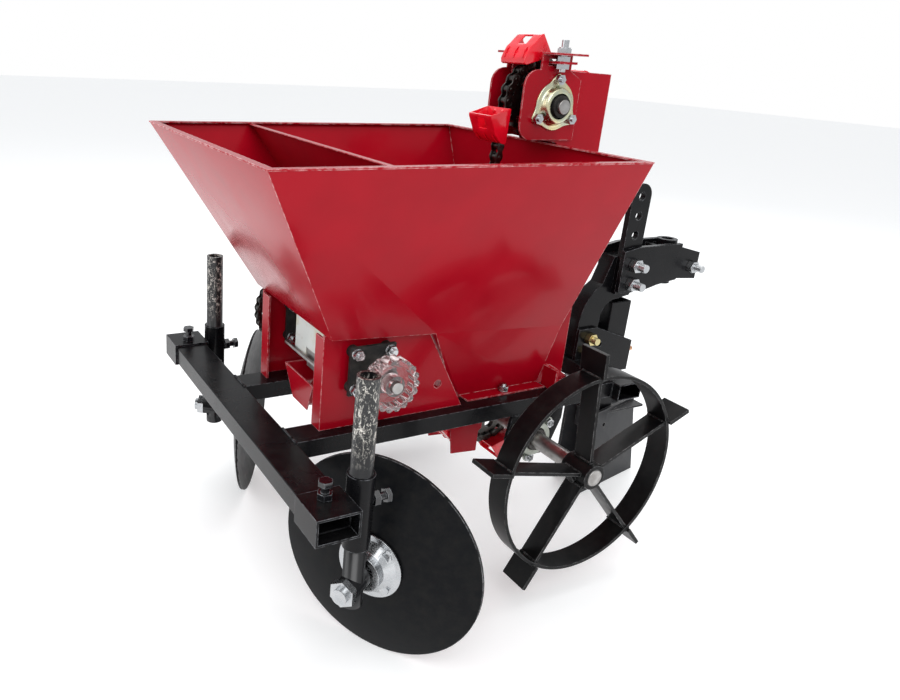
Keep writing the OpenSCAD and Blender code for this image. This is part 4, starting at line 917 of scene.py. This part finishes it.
# ---- Hiller discs, shanks and clamps ----------------------------------------
# Welded clamps slide on the tool bar and hold round shanks in sleeves. The
# shanks are black, but scraped pale where they have slid in the sleeves.
# Dished steel discs run on bright hubs.
SCRATCHED, tree, place, shader = start_material("scratched_paint")
streaks = node(tree, "ShaderNodeVectorMath", {0: place, 1: (1.0, 1.0, 0.4)}, operation="MULTIPLY").outputs[0]
scrape = span(tree, noise(tree, streaks, 260.0, 7.0, 0.75, 0.8), 0.55, 0.60)
flake = span(tree, noise(tree, place, 140.0, 7.0, 0.8), 0.56, 0.60)
height = node(tree, "ShaderNodeSeparateXYZ", {0: place}).outputs["Z"]
slid = span(tree, height, 0.300, 0.345, 0.0, 1.0)
bare = math_node(tree, "MULTIPLY", math_node(tree, "MAXIMUM", scrape, flake), slid)
ground = mix(tree, noise(tree, place, 40.0, 3.0), (0.50, 0.46, 0.40), (0.66, 0.64, 0.60))
tree.links.new(mix(tree, bare, (0.0045, 0.0045, 0.0055), ground), shader.inputs["Base Color"])
tree.links.new(span(tree, bare, 0, 1, 0.34, 0.6), shader.inputs["Roughness"])
shader.inputs["Coat Weight"].default_value = 0.15
bump(tree, shader, bare, 0.2, 0.0003)

DISC_DARK, tree, place, shader = start_material("disc_dark")
fleck = noise(tree, place, 70.0, 5.0, 0.65)
rubbed_and_lit = placed_group(tree, edge_wear, {"Vector": place, "Amount": 0.9, "Width": 0.0022})["Mask"]
earth = placed_group(tree, dusty, {"Vector": place, "Amount": 0.01})["Mask"]
tone = mix(tree, span(tree, fleck, 0.4, 0.7), (0.0035, 0.004, 0.005), (0.008, 0.008, 0.008))
tone = mix(tree, earth, tone, (0.30, 0.26, 0.21))
tree.links.new(mix(tree, rubbed_and_lit, tone, (0.34, 0.34, 0.35)), shader.inputs["Base Color"])
tree.links.new(span(tree, fleck, 0.3, 0.7, 0.30, 0.44), shader.inputs["Roughness"])
shader.inputs["Specular IOR Level"].default_value = 0.08
bump(tree, shader, fleck, 0.12, 0.0004)

SCREW_BLACK = painted("blackened_screws", (0.006, 0.006, 0.008), (0.34, 0.36, 0.38), 0.2, 0.3, 0.9, 0.0, 0.12, 0.5)

for side_name in ("right", "left"):
    softened("clamp_" + side_name, [BLACK_PAINT], 0.0012, segments=3)
    softened("clamp_screws_" + side_name, [SCREW_BLACK], 0.0008)
    spindle = joints["disc_%s_spin" % side_name]
    spindle_at, spindle_along = Vector(spindle["pos_m"]) * 1000, Vector(spindle["axis"])
    softened("shank_" + side_name, [SCRATCHED, ZINC], 0.0009,
        pick=lambda centre, low, high: 1 if abs((centre - spindle_at).dot(spindle_along)) > 17.05
        and (centre - spindle_at).length < 58 else 0)
    softened("disc_hub_" + side_name, [ZINC], 0.0009)
    softened("disc_" + side_name, [DISC_DARK], 0.0006)
    pad_runs = []
    pad_y = joints["disc_%s_spin" % side_name]["pos_m"][1] * 1000
    bar_back = box_mm("rear_tool_bar")[1]
    pad_x = bar_back.x + 12.5
    for y in (pad_y - 10.4, pad_y + 10.4):
        pad_runs.append([(pad_x, y, bar_back.z - 4), (pad_x, y, bar_back.z - 24)])
    weld("clamp_welds_" + side_name, pad_runs, "clamp_" + side_name, BLACK_PAINT, 2.0)

# ---- Furrow opener and its bracket ------------------------------------------
# A black square leg slides in a bolted bracket and carries a grey shoe with
# two wings. The bracket's studs are brass-coloured, the clamp rod copper.
OPENER_GREY = painted("opener_grey", (0.022, 0.023, 0.026), (0.28, 0.27, 0.26), 0.4, 0.05, 0.7, 0.08)
BRASS = metal("brass_stud", (0.66, 0.55, 0.26), (0.50, 0.44, 0.24), 0.32)
softened("opener_leg", [BLACK_PAINT], 0.0015, segments=3)
softened("opener_shoe", [OPENER_GREY], 0.0008)
softened("leg_bracket", [BLACK_PAINT], 0.0009)
leg_high = box_mm("opener_leg")[1]
softened("leg_screws", [COPPER, ZINC, BRASS], 0.0007,
    pick=lambda centre, low, high: 2 if high.y - low.y > 40 else (1 if centre.x < low.x + 13.5 else 0))
stud_ends = [(((low.x + high.x) / 2, low.y, (low.z + high.z) / 2), (0, 1, 0), 12, 15)
    for low, high in islands("leg_screws") if high.y - low.y > 40]
threads("bracket_threads", stud_ends, "frame", BRASS)
socket_low, socket_high = box_mm("leg_bracket")
bracket_runs = []
for y in (socket_low.y, socket_high.y):
    bracket_runs.append([(bar_r[1].x + 50.4, y, 234), (bar_r[1].x + 50.4, y, 262)])
weld("bracket_welds", bracket_runs, "frame", BLACK_PAINT, 1.8)
leg_low = box_mm("opener_leg")[0]
leg_side = leg_high.y - row_y + 0.2
shoe_runs = [[(leg_low.x + 2, row_y + s * leg_side, 152), (leg_high.x - 2, row_y + s * leg_side, 152)]
    for s in (-1, 1)]
weld("shoe_welds", shoe_runs, "opener", OPENER_GREY, 1.8)

# ---- Hitch ------------------------------------------------------------------
# A bent solid arm carries a flat mast with spare holes. Two cheeks hold the
# vertical pivot sleeve. All is sprayed black and held by large zinc bolts.
softened("hitch_arm", [BLACK_PAINT], 0.0016, segments=3)
softened("hitch_mast", [BLACK_PAINT], 0.0012)
softened("hitch_head", [BLACK_PAINT], 0.0012)
cheek_low, cheek_high = box_mm("hitch_head")
draw = (islands("drawbar_bolt")[0][0] + islands("drawbar_bolt")[0][1]) / 2
pivot_x = draw.x - 38
sleeve_runs = []
for y in (cheek_low.y + 8, cheek_high.y - 8):
    for x in (pivot_x - 10.4, pivot_x + 10.4):
        sleeve_runs.append([(x, y, 402), (x, y, 454)])
weld("sleeve_welds", sleeve_runs, "frame", BLACK_PAINT, 2.2)
bpy.data.objects.remove(ridge_shape)
